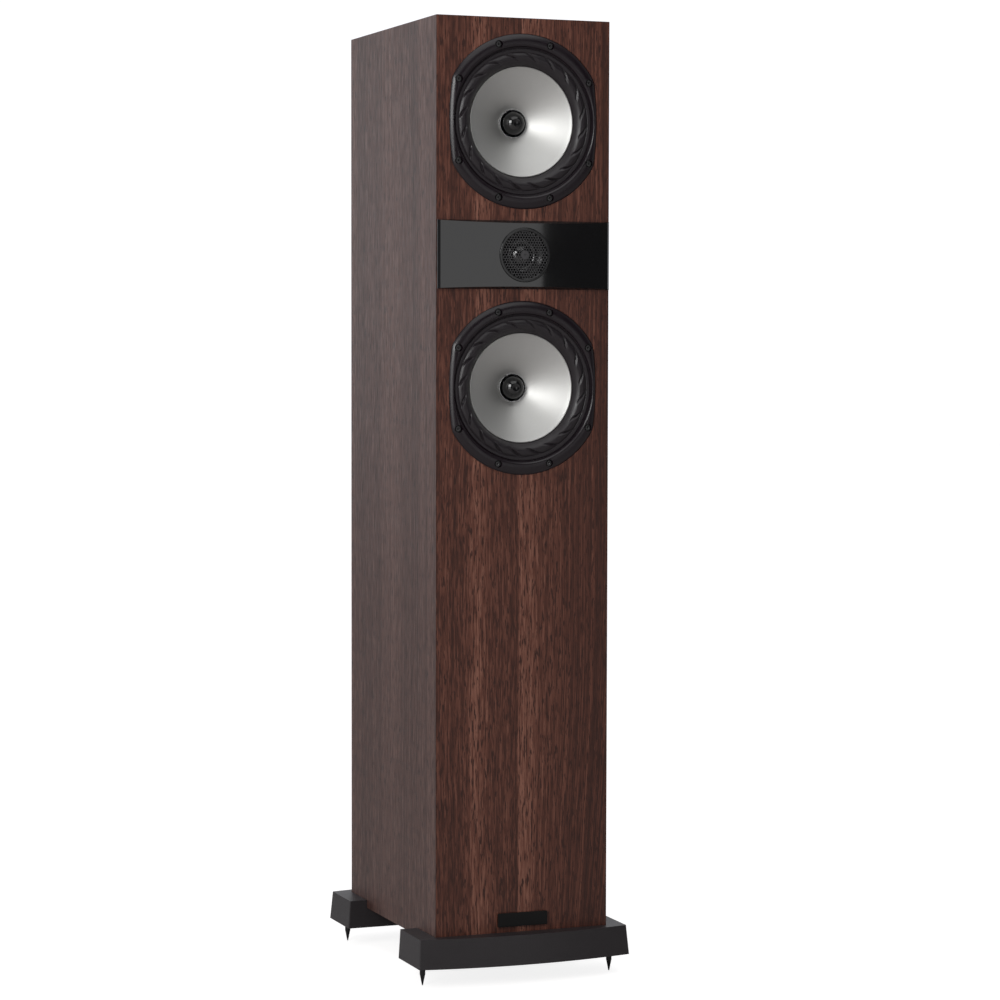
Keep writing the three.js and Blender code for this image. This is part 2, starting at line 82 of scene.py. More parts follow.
class Wiring:
    """Shader nodes being added to the tree of a material or the world."""

    def __init__(self, tree):
        self.tree = tree

    def feed(self, node, inputs):
        """Gives a node's inputs their values, linking those that are another node's output."""
        for socket, value in inputs.items():
            if isinstance(value, bpy.types.NodeSocket):
                self.tree.links.new(value, node.inputs[socket])
            else:
                node.inputs[socket].default_value = value

    def node(self, kind, inputs=None, **settings):
        made = self.tree.nodes.new("ShaderNode" + kind)
        for name, value in settings.items():
            setattr(made, name, value)
        self.feed(made, inputs or {})
        return made

    def maths(self, operation, *values):
        return self.node("Math", dict(enumerate(values)), operation=operation).outputs[0]

    def plus(self, first, second):
        return self.maths("ADD", first, second)

    def times(self, first, second):
        return self.maths("MULTIPLY", first, second)

    def between(self, value, low, high, start=0.0, end=1.0):
        inputs = {"Value": value, "From Min": low, "From Max": high, "To Min": start, "To Max": end}
        return self.node("MapRange", inputs).outputs[0]


class Look(Wiring):
    """A material being wired. Its values that are the same all over sit on the shader's own sockets."""

    def __init__(self, name, settings):
        self.material = bpy.data.materials.new(name)
        self.material.use_nodes = True
        super().__init__(self.material.node_tree)
        self.shader = self.tree.nodes["Principled BSDF"]
        self.feed(self.shader, settings)
        self.place = self.node("TexCoord").outputs["Object"]

    def axes(self):
        return self.node("SeparateXYZ", {"Vector": self.place}).outputs

    def noise(self, stretch, detail=2.0, roughness=0.5, seed=0.0, vector=None, distortion=0.0):
        """Noise from 0 to 1 whose lumps are about 1 / stretch metres long, on each axis or on all."""
        if not isinstance(stretch, tuple):
            stretch = (stretch,) * 3
        shift = (seed, 1.7 * seed, 2.3 * seed)
        place = self.node("Mapping", {"Vector": vector or self.place, "Scale": stretch, "Location": shift})
        inputs = {"Scale": 1.0, "Detail": detail, "Roughness": roughness, "Distortion": distortion}
        return self.node("TexNoise", {"Vector": place.outputs[0], **inputs}).outputs["Fac"]

    def ramp(self, value, stops):
        stops = list(stops)
        made = self.node("ValToRGB", {"Fac": value})
        band = made.color_ramp
        while len(band.elements) < len(stops):
            band.elements.new(0.5)
        for element, (position, colour) in zip(band.elements, stops):
            element.position = position
            element.color = (*colour, 1.0)
        return made.outputs["Color"]

    def mixed(self, factor, *colours):
        first, second = [(*c, 1.0) if isinstance(c, tuple) else c for c in colours]
        return self.node("Mix", {0: factor, 6: first, 7: second}, data_type="RGBA").outputs[2]

    def finished(self, colour, sheen, roughness, height, relief, strength, span=(0.3, 0.7)):
        """The material, its roughness following sheen over a span of values, its relief in mm."""
        bump = self.node("Bump", {"Height": height, "Distance": relief * MM, "Strength": strength})
        rough = self.between(sheen, *span, *roughness)
        self.feed(self.shader, {"Base Color": colour, "Roughness": rough, "Normal": bump.outputs[0]})
        return self.material


def walnut(name, across, along, seed, tones, bands=None, edge=None, sheen=0.5):
    """Satin-lacquered walnut veneer. across and along are axis numbers, 0 to 2, and edge is the axis
    over which the grain carries on round the board's edge. tones run from the darkest to the lightest.
    bands are light and dark bands, as (share of the half width, tone); without them they are random."""
    look = Look(name, {"IOR": 1.45, "Specular IOR Level": sheen})
    axes = look.axes()
    width = axes[across] if edge is None else look.plus(axes[across], axes[edge])
    plain = look.node("CombineXYZ", {0: width, 1: axes[along], 2: seed}).outputs[0]
    wander = look.noise((9, 3.0, 1), 2.0, 0.5, seed + 4, plain)
    drift = look.times(look.maths("SUBTRACT", wander, 0.5), 0.016)
    if bands:
        low = look.between(axes[along], LEAN_START, CABINET_BOTTOM)
        right = look.between(axes[across], 0.0, HALF_WIDTH, 0.0, LEAN)
        drift = look.plus(drift, look.times(look.times(low, low), right))
    shifted = look.plus(width, drift)
    grain = look.node("CombineXYZ", {0: shifted, 1: axes[along], 2: seed}).outputs[0]
    growth, flecks = [
        look.between(look.noise(stretch, detail, 0.6, seed + shift, grain), 0.36, 0.64, -0.5, 0.5)
        for stretch, detail, shift in (((500, 1.1, 1), 3.0, 8), ((600, 36, 1), 2.0, 2))
    ]
    pores = look.between(look.noise((700, 75, 1), 2.0, 0.6, seed + 6, plain), 0.38, 0.46)
    if bands:
        place = look.between(shifted, -HALF_WIDTH, HALF_WIDTH)
        band = look.ramp(place, [((share + 1) / 2, (tone,) * 3) for share, tone in bands])
        straight = look.between(axes[across], 0.0, 0.5 * HALF_WIDTH)
    else:
        band = look.between(look.noise((30, 0.5, 1), 2.0, 0.5, seed, grain), 0.3, 0.7, 0.35, 0.65)
        straight = look.between(wander, 0.4, 0.6)
    stripes = look.times(growth, look.between(straight, 0, 1, 0.2, 0.42))
    mottle = look.times(flecks, look.between(straight, 0, 1, 0.48, 0.28))
    tone = look.plus(look.plus(band, stripes), mottle)
    colour = look.mixed(pores, tones[0], look.ramp(tone, zip((0.0, 0.35, 0.6, 1.0), tones)))
    relief = look.plus(look.times(flecks, 0.2), pores)
    return look.finished(colour, flecks, (0.52, 0.42), relief, 0.1, 0.5, (-0.5, 0.5))


def two_tone(name, settings, tone, skin, dark, light, roughness, relief, strength):
    """Colour and sheen that drift together between two tones, over a skin in relief.
    tone and skin are the noise of each."""
    look = Look(name, settings)
    drift = look.noise(*tone)
    colour = look.mixed(drift, dark, light)
    return look.finished(colour, drift, roughness, look.noise(*skin), relief, strength)


def satin_black(name, shade, roughness, grain, relief=0.02, ior=1.48):
    """Painted or moulded black with a fine orange-peel skin and slight variation in its sheen."""
    dark = tuple(0.75 * c for c in shade)
    sheens = (roughness - 0.04, roughness + 0.04)
    return two_tone(
        name, {"IOR": ior}, (35, 2.0, 0.5, 3.0), (grain, 2.0, 0.6), dark, shade, sheens, relief, 0.5,
    )


def gloss_black(name, roughness, ior=1.52):
    return two_tone(
        name, {"IOR": ior, "Coat Weight": 0.35, "Coat Roughness": 0.02}, (14, 3.0, 0.5), (6, 1.0, 0.4, 5.0),
        (0.003, 0.0029, 0.0032), (0.005, 0.0048, 0.0052), (roughness, roughness + 0.03), 0.02, 0.15,
    )


def tinted_knob(name, shade):
    """Smoked or red plastic skirt, a little hazy, with moulding swirls."""
    swirl = ((120, 40, 120), 3.0, 0.6, 0.0, None, 1.5)
    dark = tuple(0.55 * c for c in shade)
    settings = {"IOR": 1.49, "Coat Weight": 0.6, "Coat Roughness": 0.08}
    return two_tone(name, settings, swirl, swirl, dark, shade, (0.18, 0.3), 0.03, 0.3)


def silver_cone():
    """Aluminium-pigmented cone: fine sparkle in the colour, and a soft satin gloss."""
    look = Look("silver cone", {"Metallic": 0.92})
    flake = look.noise(2600, 2.0, 0.7)
    cloud = look.between(look.noise(22, 2.0, 0.5, 2.0), 0.3, 0.7, 0.0, 0.18)
    speck = look.mixed(flake, (0.5, 0.5, 0.485), (0.68, 0.68, 0.665))
    colour = look.mixed(cloud, speck, (0.5, 0.49, 0.465))
    return look.finished(colour, flake, (0.46, 0.54), flake, 0.02, 0.35)


def metal(name, light, dark, roughness):
    """Turned metal with fine tool marks, and a tarnish that darkens it in places."""
    look = Look(name, {"Metallic": 1.0})
    marks = look.noise(900, 2.0, 0.6)
    tarnish = look.between(look.noise(60, 3.0, 0.6, 7.0), 0.35, 0.75)
    colour = look.mixed(tarnish, light, dark)
    return look.finished(colour, marks, (roughness - 0.05, roughness + 0.08), marks, 0.02, 0.4)


def powder_coat():
    """Charcoal powder coat on the plinth bars: fine pebbled skin with lighter specks."""
    look = Look("charcoal powder coat", {"IOR": 1.48})
    pebble = look.noise(1500, 2.0, 0.6)
    cloud = look.noise(18, 3.0, 0.55, 2.0)
    body = look.mixed(cloud, (0.019, 0.016, 0.0175), (0.027, 0.0232, 0.0254))
    colour = look.mixed(look.between(pebble, 0.55, 0.8, 0.0, 0.5), body, (0.05, 0.047, 0.049))
    return look.finished(colour, pebble, (0.5, 0.4), pebble, 0.05, 0.5)


def winding(name, along):
    """Enamelled wire wound in close turns along one axis, with painted shade in the grooves between turns.
    """
    look = Look(name, {"Metallic": 0.9})
    phase = look.times(look.axes()[along], pi / (0.5 * MM))
    turns = look.maths("ABSOLUTE", look.maths("SINE", phase))
    uneven = look.noise(90, 2.0, 0.5)
    copper = look.mixed(uneven, (0.42, 0.13, 0.045), (0.62, 0.24, 0.1))
    # Painted shade: the colour falls to a dark brown between the turns, where the grooves would be in
    # shadow.
    colour = look.mixed(turns, (0.1, 0.028, 0.01), copper)
    return look.finished(colour, turns, (0.5, 0.28), turns, 0.15, 0.8, (0.0, 1.0))


def woven(name, light, dark, pitch):
    """Plain weave, warp over weft, with the pitch of its threads in mm."""
    look = Look(name, {"Sheen Weight": 0.2, "Sheen Roughness": 0.5})
    axes = look.axes()
    turn = 2 * pi / (pitch * MM)
    threads = [look.maths("SINE", look.times(axes[i], turn)) for i in (0, 2)]
    weave = look.between(look.times(*threads), -1.0, 1.0)
    slub = look.noise(240, 2.0, 0.5)
    colour = look.mixed(look.times(weave, slub), dark, light)
    return look.finished(colour, slub, (0.75, 0.9), weave, 0.2, 0.6)


def speckled(name, dark, light, size, roughness, relief):
    """Fibreboard, ferrite, circuit board or wadding: two tones in specks of one size."""
    look = Look(name, {"IOR": 1.45})
    specks = look.noise(size, 3.0, 0.65)
    patches = look.times(look.noise(size / 12, 2.0, 0.5, 4.0), 0.5)
    colour = look.mixed(look.between(look.plus(specks, patches), 0.5, 1.0), dark, light)
    return look.finished(colour, specks, (roughness - 0.06, roughness + 0.06), specks, relief, 0.6)


# Below LEAN_START the front's bands lean outwards, by up to LEAN at the bottom, both in metres
LEAN_START = 0.42
LEAN = 0.03
FRONT_BANDS = (
    (-1.00, 0.4), (-0.78, 0.36), (-0.62, 0.46), (-0.57, 0.74), (-0.43, 0.68), (-0.36, 0.43),
    (-0.16, 0.43), (-0.045, 0.3), (-0.03, 0.74), (0.12, 0.68), (0.22, 0.52), (0.52, 0.47),
    (0.66, 0.37), (0.84, 0.39), (0.9, 0.22), (1.00, 0.26),
)
RED_TONES = (
    (0.037, 0.0113, 0.007), (0.077, 0.0236, 0.0142), (0.132, 0.045, 0.028), (0.26, 0.111, 0.075),
)
# Painted shade: the side boards take a darker, less red copy of the front's walnut tones, so the sides look
# shaded.
PAINTED_SHADE_SIDE_TONES = (
    (0.027, 0.0118, 0.009), (0.06, 0.025, 0.0188), (0.102, 0.047, 0.0362), (0.2, 0.112, 0.092),
)
FRONT_WALNUT = walnut("walnut front", 0, 2, 3.0, RED_TONES, FRONT_BANDS)
# The sides are the same walnut, given the painted-shade tones above.
SIDE_WALNUT_PAINTED_SHADE = walnut("walnut side painted shade", 1, 2, 11.0, PAINTED_SHADE_SIDE_TONES, edge=0, sheen=0.66)
TOP_WALNUT = walnut("walnut top", 0, 1, 19.0, RED_TONES)
BACK_WALNUT = walnut("walnut back", 0, 2, 27.0, RED_TONES)
FLANGE_BLACK = satin_black("driver frame black", (0.0095, 0.005, 0.0082), 0.3, 1600)
BADGE_BLACK = satin_black("badge black", (0.0036, 0.0034, 0.0034), 0.36, 1800, ior=1.34)
BEZEL_BLACK = satin_black("bezel black", (0.011, 0.0108, 0.0115), 0.13, 1800, 0.01)
GRILLE_BLACK = satin_black("grille black", (0.042, 0.0405, 0.043), 0.32, 1800, 0.01)
# Painted light: the cover disc has the grille's paint made lighter, for the light on its flat face.
DISC_PAINTED_LIGHT_GREY = satin_black("cover disc painted light grey", (0.062, 0.06, 0.063), 0.4, 1800, 0.01)
HORN_BLACK = satin_black("horn black", (0.006, 0.006, 0.0064), 0.22, 1500)
SCREW_BLACK = satin_black("screw black oxide", (0.034, 0.033, 0.0345), 0.2, 2400)
SPIKE_BLACK = satin_black("spike black oxide", (0.01, 0.01, 0.011), 0.28, 2400)
MOULDED_BLACK = satin_black("moulded black", (0.015, 0.015, 0.0155), 0.45, 1100, 0.05)
PANEL_GLOSS = gloss_black("tweeter panel gloss", 0.02)
PLUG_GLOSS = gloss_black("phase plug gloss", 0.07)
DOME_GLOSS = gloss_black("dome film", 0.03, 2.1)
SURROUND_RUBBER = two_tone(
    "surround rubber", {"IOR": 1.5, "Sheen Weight": 0.05, "Sheen Roughness": 0.5}, (160, 3.0, 0.6),
    (2200, 1.5, 0.5), (0.0085, 0.0055, 0.0078), (0.0135, 0.0095, 0.0125), (0.34, 0.44), 0.03, 0.4,
)
CONE_SILVER = silver_cone()
BAR_CHARCOAL = powder_coat()
BRASS = metal("brass", (0.6, 0.42, 0.16), (0.33, 0.2, 0.07), 0.26)
STEEL = metal("zinc-plated steel", (0.55, 0.56, 0.57), (0.36, 0.36, 0.35), 0.34)
FORMER_ALUMINIUM = metal("former aluminium", (0.72, 0.72, 0.73), (0.52, 0.52, 0.52), 0.25)
FERRITE = speckled("ferrite", (0.016, 0.016, 0.017), (0.045, 0.045, 0.048), 900, 0.62, 0.05)
BOARD = speckled("fibreboard", (0.17, 0.11, 0.06), (0.36, 0.26, 0.16), 700, 0.85, 0.2)
CIRCUIT = speckled("circuit board", (0.008, 0.05, 0.03), (0.02, 0.11, 0.07), 160, 0.35, 0.03)
SLEEVE = speckled("capacitor sleeve", (0.35, 0.28, 0.05), (0.55, 0.46, 0.12), 120, 0.35, 0.03)
WIRE = speckled("wire sleeve", (0.01, 0.01, 0.011), (0.026, 0.026, 0.028), 1200, 0.5, 0.05)
WADDING = speckled("polyester wadding", (0.52, 0.5, 0.46), (0.86, 0.84, 0.79), 260, 0.95, 1.0)
SPIDER_CLOTH = woven("spider cloth", (0.62, 0.42, 0.18), (0.3, 0.18, 0.07), 0.9)
KNOB_RED = tinted_knob("red knob", (0.3, 0.008, 0.01))
KNOB_BLACK = tinted_knob("black knob", (0.018, 0.018, 0.019))
COIL_COPPER = winding("voice coil winding", 1)
INDUCTOR_COPPER = winding("inductor winding", 2)


# ---- mesh tools


def shares(steps):
    """The numbers from 0 to 1 in equal steps."""
    return [k / steps for k in range(steps + 1)]


def filleted(corners, steps):
    """A closed outline of (x, y) points from (x, y, radius) corners, each rounded by its own radius."""
    points = []
    for i, (x, y, radius) in enumerate(corners):
        here = Vector((x, y))
        if radius == 0:
            points.append((x, y))
            continue
        before = (Vector(corners[i - 1][:2]) - here).normalized()
        after = (Vector(corners[(i + 1) % len(corners)][:2]) - here).normalized()
        half = before.angle(after) / 2
        reach = radius / tan(half)
        centre = here + (before + after).normalized() * radius / sin(half)
        first = here + before * reach - centre
        last = here + after * reach - centre
        sweep = pi - 2 * half
        for t in shares(steps):
            arm = first * sin((1 - t) * sweep) + last * sin(t * sweep)
            points.append(tuple(centre + arm / sin(sweep)))
    return points


def rounded_rectangle(width, height, radius, steps=6):
    x, y = width / 2, height / 2
    return filleted([(-x, -y, radius), (x, -y, radius), (x, y, radius), (-x, y, radius)], steps)


def in_scene(name, data):
    made = bpy.data.objects.new(name, data)
    bpy.context.scene.collection.objects.link(made)
    return made


def plain_mesh(shape):
    mesh = bpy.data.meshes.new("mesh")
    shape.to_mesh(mesh)
    shape.free()
    return mesh


def closed_mesh(shape):
    """The finished mesh of a bmesh, with doubled points merged and its faces turned outwards."""
    bmesh.ops.remove_doubles(shape, verts=shape.verts, dist=1e-7)
    bmesh.ops.recalc_face_normals(shape, faces=shape.faces)
    return plain_mesh(shape)


def bridge(shape, first, second):
    """Adds the faces between two closed rows of points."""
    count = len(first)
    for i in range(count):
        k = (i + 1) % count
        shape.faces.new((first[i], first[k], second[k], second[i]))


def swept(profile_at, columns, centre, axis="Y"):
    """A closed mesh swept round an axis. profile_at(angle) gives its (radius, along) points in mm.
    Round Y the angle starts straight up and turns towards +X; round Z it starts at +X."""
    shape = bmesh.new()
    rows = []
    for i in range(columns):
        angle = 2 * pi * i / columns
        sine, cosine = sin(angle), cos(angle)
        row = []
        for radius, along in profile_at(angle):
            if axis == "Y":
                offset = Vector((radius * sine, along, radius * cosine))
            else:
                offset = Vector((radius * cosine, radius * sine, along))
            row.append(shape.verts.new(centre + offset * MM))
        rows.append(row)
    for i, row in enumerate(rows):
        bridge(shape, row, rows[(i + 1) % columns])
    return closed_mesh(shape)


def lathe(profile, centre, axis="Y", columns=96):
    return swept(lambda angle: profile, columns, centre, axis)


def bore_profile(level, *steps):
    """A stepped hole's outline from its mouth at a level. Each step is (radius, level it reaches)."""
    profile = [(0, level)]
    for radius, reached in steps:
        profile += [(radius, level), (radius, reached)]
        level = reached
    return profile + [(0, level)]


def bore(centre, level, *steps, axis="Y", columns=32):
    return lathe(bore_profile(level, *steps), centre, axis, columns)


def rounded_ring(centre, inner, outer, front, rear, edge=0.4):
    corners = [(inner, front, edge), (outer, front, edge), (outer, rear, edge), (inner, rear, edge)]
    return lathe(filleted(corners, 3), centre)


def prism(outline, low, high, axis, centre=Vector((0, 0, 0))):
    """An (x, z) outline given depth along Y, or an (x, y) outline given height along Z, all in mm."""
    shape = bmesh.new()
    ends = []
    for along in (low, high):
        places = [(x, along, other) if axis == "Y" else (x, other, along) for x, other in outline]
        ends.append([shape.verts.new(centre + Vector(place) * MM) for place in places])
    for end in ends:
        shape.faces.new(end)
    bridge(shape, *ends)
    return closed_mesh(shape)


def hull(corners):
    shape = bmesh.new()
    for corner in corners:
        shape.verts.new(corner)
    bmesh.ops.convex_hull(shape, input=shape.verts)
    bmesh.ops.dissolve_limit(shape, angle_limit=radians(1), verts=shape.verts, edges=shape.edges)
    return closed_mesh(shape)


def box_mesh(low, high):
    return hull(product(*zip(low, high)))


def evaluated(data, kind=None, *settings):
    """The mesh of a mesh or curve, after one modifier of a kind for each of the settings."""
    holder = in_scene("holder", data)
    for each in settings:
        modifier = holder.modifiers.new(kind, kind)
        for name, value in each.items():
            setattr(modifier, name, value)
    bpy.context.view_layer.update()
    result = bpy.data.meshes.new_from_object(holder.evaluated_get(bpy.context.evaluated_depsgraph_get()))
    bpy.data.objects.remove(holder)
    return result


def combined(mesh, others, operation="DIFFERENCE"):
    """The mesh cut by, or joined with, other meshes."""
    helpers = [in_scene("helper", other) for other in others]
    settings = [{"operation": operation, "solver": "EXACT", "object": helper} for helper in helpers]
    result = evaluated(mesh, "BOOLEAN", *settings)
    for helper in helpers:
        bpy.data.objects.remove(helper)
    return result


def bevelled(mesh, width, segments=2, limit=30):
    """The mesh with its edges rounded, width in mm."""
    return evaluated(mesh, "BEVEL", {
        "width": width * MM,
        "segments": segments,
        "limit_method": "ANGLE",
        "angle_limit": radians(limit),
        "miter_outer": "MITER_ARC",
    })


def merged(meshes):
    """Several closed meshes as one."""
    shape = bmesh.new()
    for mesh in meshes:
        shape.from_mesh(mesh)
    return plain_mesh(shape)


def add_piece(name, mesh, look, node=None, body="root", smooth=38):
    """Shows a mesh as a piece of the object, riding on a CAD body, in place of a CAD node.
    Its faces shade smoothly where they meet at less than the angle smooth."""
    piece = in_scene(name, mesh)
    mesh.materials.clear()
    mesh.materials.append(look)
    mesh.shade_smooth()
    mesh.set_sharp_from_angle(angle=radians(smooth))
    piece.modifiers.new("Even shading", "WEIGHTED_NORMAL").keep_sharp = True
    if body:
        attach(piece, body)
    if node:
        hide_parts(node)
    return piece


# ---- cabinet

FLANGE_RADIUS = 91.3
FLANGE_HALF_WIDTH = 82.9
FLANGE_SIDE_RADIUS = 310.0
FLANGE_PROUD = 3.3
SEAM = 0.08 * MM
OUTSIDE = ((-HALF_WIDTH, FRONT_Y, CABINET_BOTTOM), (HALF_WIDTH, BACK_Y, CABINET_TOP))
INSIDE = ((WALL - HALF_WIDTH, BAFFLE_BACK, CABINET_BOTTOM), (HALF_WIDTH - WALL, BACK_Y, CABINET_TOP - WALL))
SEAMS = ((SEAM, SEAM, 0.0), (-SEAM, 0.0, -SEAM))
BEHIND_BAFFLE = (BAFFLE_BACK - FRONT_Y) / MM + 1


def flange_reach(angle, grow):
    """Distance in mm from a woofer's axis to its outline: a circle with its sides pulled in to arcs."""
    radius = FLANGE_RADIUS + grow
    centre = FLANGE_SIDE_RADIUS - (FLANGE_HALF_WIDTH + grow)
    lean = centre * abs(sin(angle))
    side = -lean + sqrt(lean ** 2 + FLANGE_SIDE_RADIUS ** 2 - centre ** 2)
    return min(radius, side)


def soft_reach(angle, grow=0.0):
    """flange_reach with the corner between circle and side arc eased over a few degrees."""
    spread = radians(2.2)
    samples = [flange_reach(angle + spread * k / 4, grow) for k in range(-4, 5)]
    return sum(samples) / len(samples)


def mitred_board(axis, end):
    """The cabinet's board at the low end (0) or high end (1) of an axis, with mitred edges."""
    corners = []
    for box in (OUTSIDE, INSIDE):
        for ends in product((0, 1), repeat=3):
            if ends[axis] == end:
                corners.append([
                    box[ends[i]][i] + (0.0 if i == axis else SEAMS[ends[i]][i])
                    for i in range(3)
                ])
    return hull(corners)


def woofer_hole_profile(angle):
    """The rebate for the flange, then the hole that the chassis passes through."""
    return bore_profile(-2, (soft_reach(angle, 0.25), 2.9), (74.6, BEHIND_BAFFLE))


def baffle_mesh():
    centres = [middle(prefix + "_woofer_basket", y=FRONT_Y) for prefix in WOOFERS]
    holes = [swept(woofer_hole_profile, 180, centre) for centre in centres]
    tweeter = middle("tweeter_faceplate", y=FRONT_Y)
    holes.append(bore(tweeter, -1, (34.7, 3.3), (30.4, BEHIND_BAFFLE), columns=96))
    return combined(mitred_board(1, 0), holes)


def back_panel_mesh():
    low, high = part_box("back_panel")
    behind = spans("back_panel").y + 1
    port_hole = bore(middle("port_tube", x=0, y=low.y), -1, (31.4, behind), columns=96)
    cup = middle("terminal_cup", x=0, y=low.y)
    cup_hole = prism(rounded_rectangle(90, 60, 5), -1, behind, "Y", cup)
    return combined(box_mesh(low, high), [port_hole, cup_hole])


def add_cabinet():
    for node, mesh, look in (
        ("front_baffle", baffle_mesh(), FRONT_WALNUT),
        ("back_panel", back_panel_mesh(), BACK_WALNUT),
        ("left_side_panel", mitred_board(0, 0), SIDE_WALNUT_PAINTED_SHADE),
        ("right_side_panel", mitred_board(0, 1), SIDE_WALNUT_PAINTED_SHADE),
        ("top_panel", mitred_board(2, 1), TOP_WALNUT),
    ):
        add_piece(node + "_veneered", bevelled(mesh, 0.3), look, node)


def add_badge():
    width, depth, height = spans("badge_plate")
    face = middle("badge_plate", y=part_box("badge_plate")[0].y)
    plate = prism(rounded_rectangle(width, height, 0.8, 4), 0, depth, "Y", face)
    add_piece("blank_badge", bevelled(plate, 0.3, 3), BADGE_BLACK, "badge_plate")


# ---- woofers

SCREW_ANGLES = [radians(a) for a in (20, 60, 120, 160, 200, 240, 300, 340)]
SCREW_CIRCLE = 84.6
FLUTES = 20


def around(centre, radius, angle, depth=0.0):
    """The point at radius mm and angle round a driver's axis, depth mm behind the baffle's face."""
    return centre + Vector((radius * sin(angle), depth, radius * cos(angle))) * MM


def arched(distance, width, slope):
    """Height in mm of the flange's face near an edge, which it falls to along an arc ending at a slope."""
    reach = max(0.0, width - distance)
    curve = width / sin(radians(slope))
    return FLANGE_PROUD - curve + sqrt(curve ** 2 - reach ** 2)


def flange_profile(angle):
    """From the rebate's floor round the rim, over the arched face and down to the surround's seat."""
    rim, lip = soft_reach(angle), 77.6
    points = [(rim - 0.2, 2.6), (rim, 0.6)]
    for t in shares(26):
        radius = lip + (rim - lip) * (0.5 + 0.5 * cos(pi * t))
        points.append((radius, -min(arched(rim - radius, 8.2, 46), arched(radius - lip, 3.8, 84))))
    return points + [
        (77.1, 0.3), (76.8, 0.1), (76.55, -0.15), (76.3, -0.1), (76.2, 0.2), (76.2, 1.5),
        (71.2, 1.5), (71.2, 2.8), (73.9, 2.8), (73.9, 2.6),
    ]


def basket_mesh(centre):
    """The flange with counterbored screw holes, joined to a ribbed cast chassis behind it."""
    cuts = [bore(around(centre, SCREW_CIRCLE, angle), -5, (4.2, 0.4)) for angle in SCREW_ANGLES]
    flange = combined(swept(flange_profile, 240, centre), [merged(cuts)])
    shell = lathe([
        (73.9, 2.0), (73.9, 6.5), (51, 41.5), (46, 51.7), (30, 51.7), (30, 49), (41, 49),
        (41, 41.5), (48, 41.5), (71.2, 6), (71.2, 2.0),
    ], centre)
    windows = []
    for i in range(6):
        window = prism([(-13, 52), (13, 52), (20, 80), (-20, 80)], 12, 38, "Y")
        window.transform(Matrix.Rotation(radians(60 * i), 4, "Y"))
        window.transform(Matrix.Translation(centre))
        windows.append(window)
    return combined(flange, [combined(shell, [merged(windows)])], "UNION")


def hexagon_reach(angle, across_flats):
    sector = radians(60)
    return across_flats / 2 / cos((angle + sector / 2) % sector - sector / 2)


def socket_screw_mesh(centre, head=3.0, head_height=2.4, socket=2.5, thread=1.6, length=16.0):
    """A socket-head screw lying along Y, its head's face at centre."""

    def profile_at(angle):
        hexagon = hexagon_reach(angle, socket)
        return [
            (0, 2.2), (hexagon, 1.2), (hexagon, 0.15), (hexagon + 0.15, 0), (head - 0.8, 0),
            (head - 0.25, 0.22), (head, 0.75), (head, head_height), (thread, head_height),
            (thread, length - 1.5), (0, length),
        ]

    return swept(profile_at, 36, centre)


def flute_depth(radius, angle):
    """How far a diagonal flute presses the roll back at a place, from 0 to 1."""
    rim, inside = 72.2, 63.6
    across = (rim - radius) / (rim - inside)
    if not 0 < across < 1:
        return 0.0
    slant = radians(11.5)
    phase = ((angle - slant * across) * FLUTES / (2 * pi)) % 1.0
    wall, ease = 0.07, 0.23
    press = phase / wall if phase < wall else max(0.0, 1 - (phase - wall) / ease)
    return press * sin(pi * across) ** 0.7


def surround_profile(angle):
    """Half roll from the rim to the lip behind the cone, with its back face 0.8 mm behind its front."""
    rim, inner, height = 72.4, 58.2, 4.6
    front = []
    for t in shares(26):
        radius = rim + (inner - rim) * t
        lift = height * sin(pi * t) ** 0.85
        front.append((radius, 1.0 + 5.0 * t - lift + 2.5 * flute_depth(radius, angle)))
    back = [(radius, depth + 0.8) for radius, depth in reversed(front)]
    start = [(76.0, 1.1), (76.0, 0.5), (75.7, 0.3), (73.0, 0.3)]
    lip = [(57.7, 6.6), (57.3, 8.4), (54.2, 10.1), (54.2, 10.9), (58.0, 9.2)]
    return start + front + lip + back + [(73.0, 1.2)]


def radial_blend(piece):
    """Bakes a ring's placement into its own mesh."""
    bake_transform(piece)


def cone_mesh(centre):
    """Thin straight-sided cone with a rolled outer edge."""
    edge, edge_depth, neck, neck_depth = 57.2, 6.0, 15.4, 32.0
    rolled = ((0.7, 6.9), (0.8, 6.3), (0.6, 5.75), (0.2, 5.45), (-0.25, 5.5), (-0.6, 6.05))
    front = [(edge + out, depth) for out, depth in rolled]
    for t in shares(10)[1:]:
        depth = edge_depth + (neck_depth - edge_depth) * t - 0.9 * sin(pi * t)
        front.append((edge - 0.6 + (neck - edge + 0.6) * t, depth))
    back = [(radius + 0.2, depth + 0.7) for radius, depth in reversed(front[5:])]
    return lathe(front + back, centre, columns=144)


def coil_former_mesh(centre):
    return lathe([
        (14.6, 30.9), (14.7, 30.8), (15.0, 30.8), (15.1, 30.9),
        (15.1, 61.9), (15.0, 62), (14.7, 62), (14.6, 61.9),
    ], centre)


def spider_mesh(centre):
    """Corrugated ring from the voice coil to its ledge on the chassis."""
    inner, outer = 15.7, 47.6
    front = []
    for t in shares(60):
        radius = inner + (outer - inner) * t
        fade = min(1.0, 2.5 * (1 - t), 6 * t)
        front.append((radius, 39.9 + 1.3 * fade * sin(2 * pi * (radius - inner) / 4.4)))
    back = [(radius, depth + 0.5) for radius, depth in reversed(front)]
    return lathe(front + back, centre)


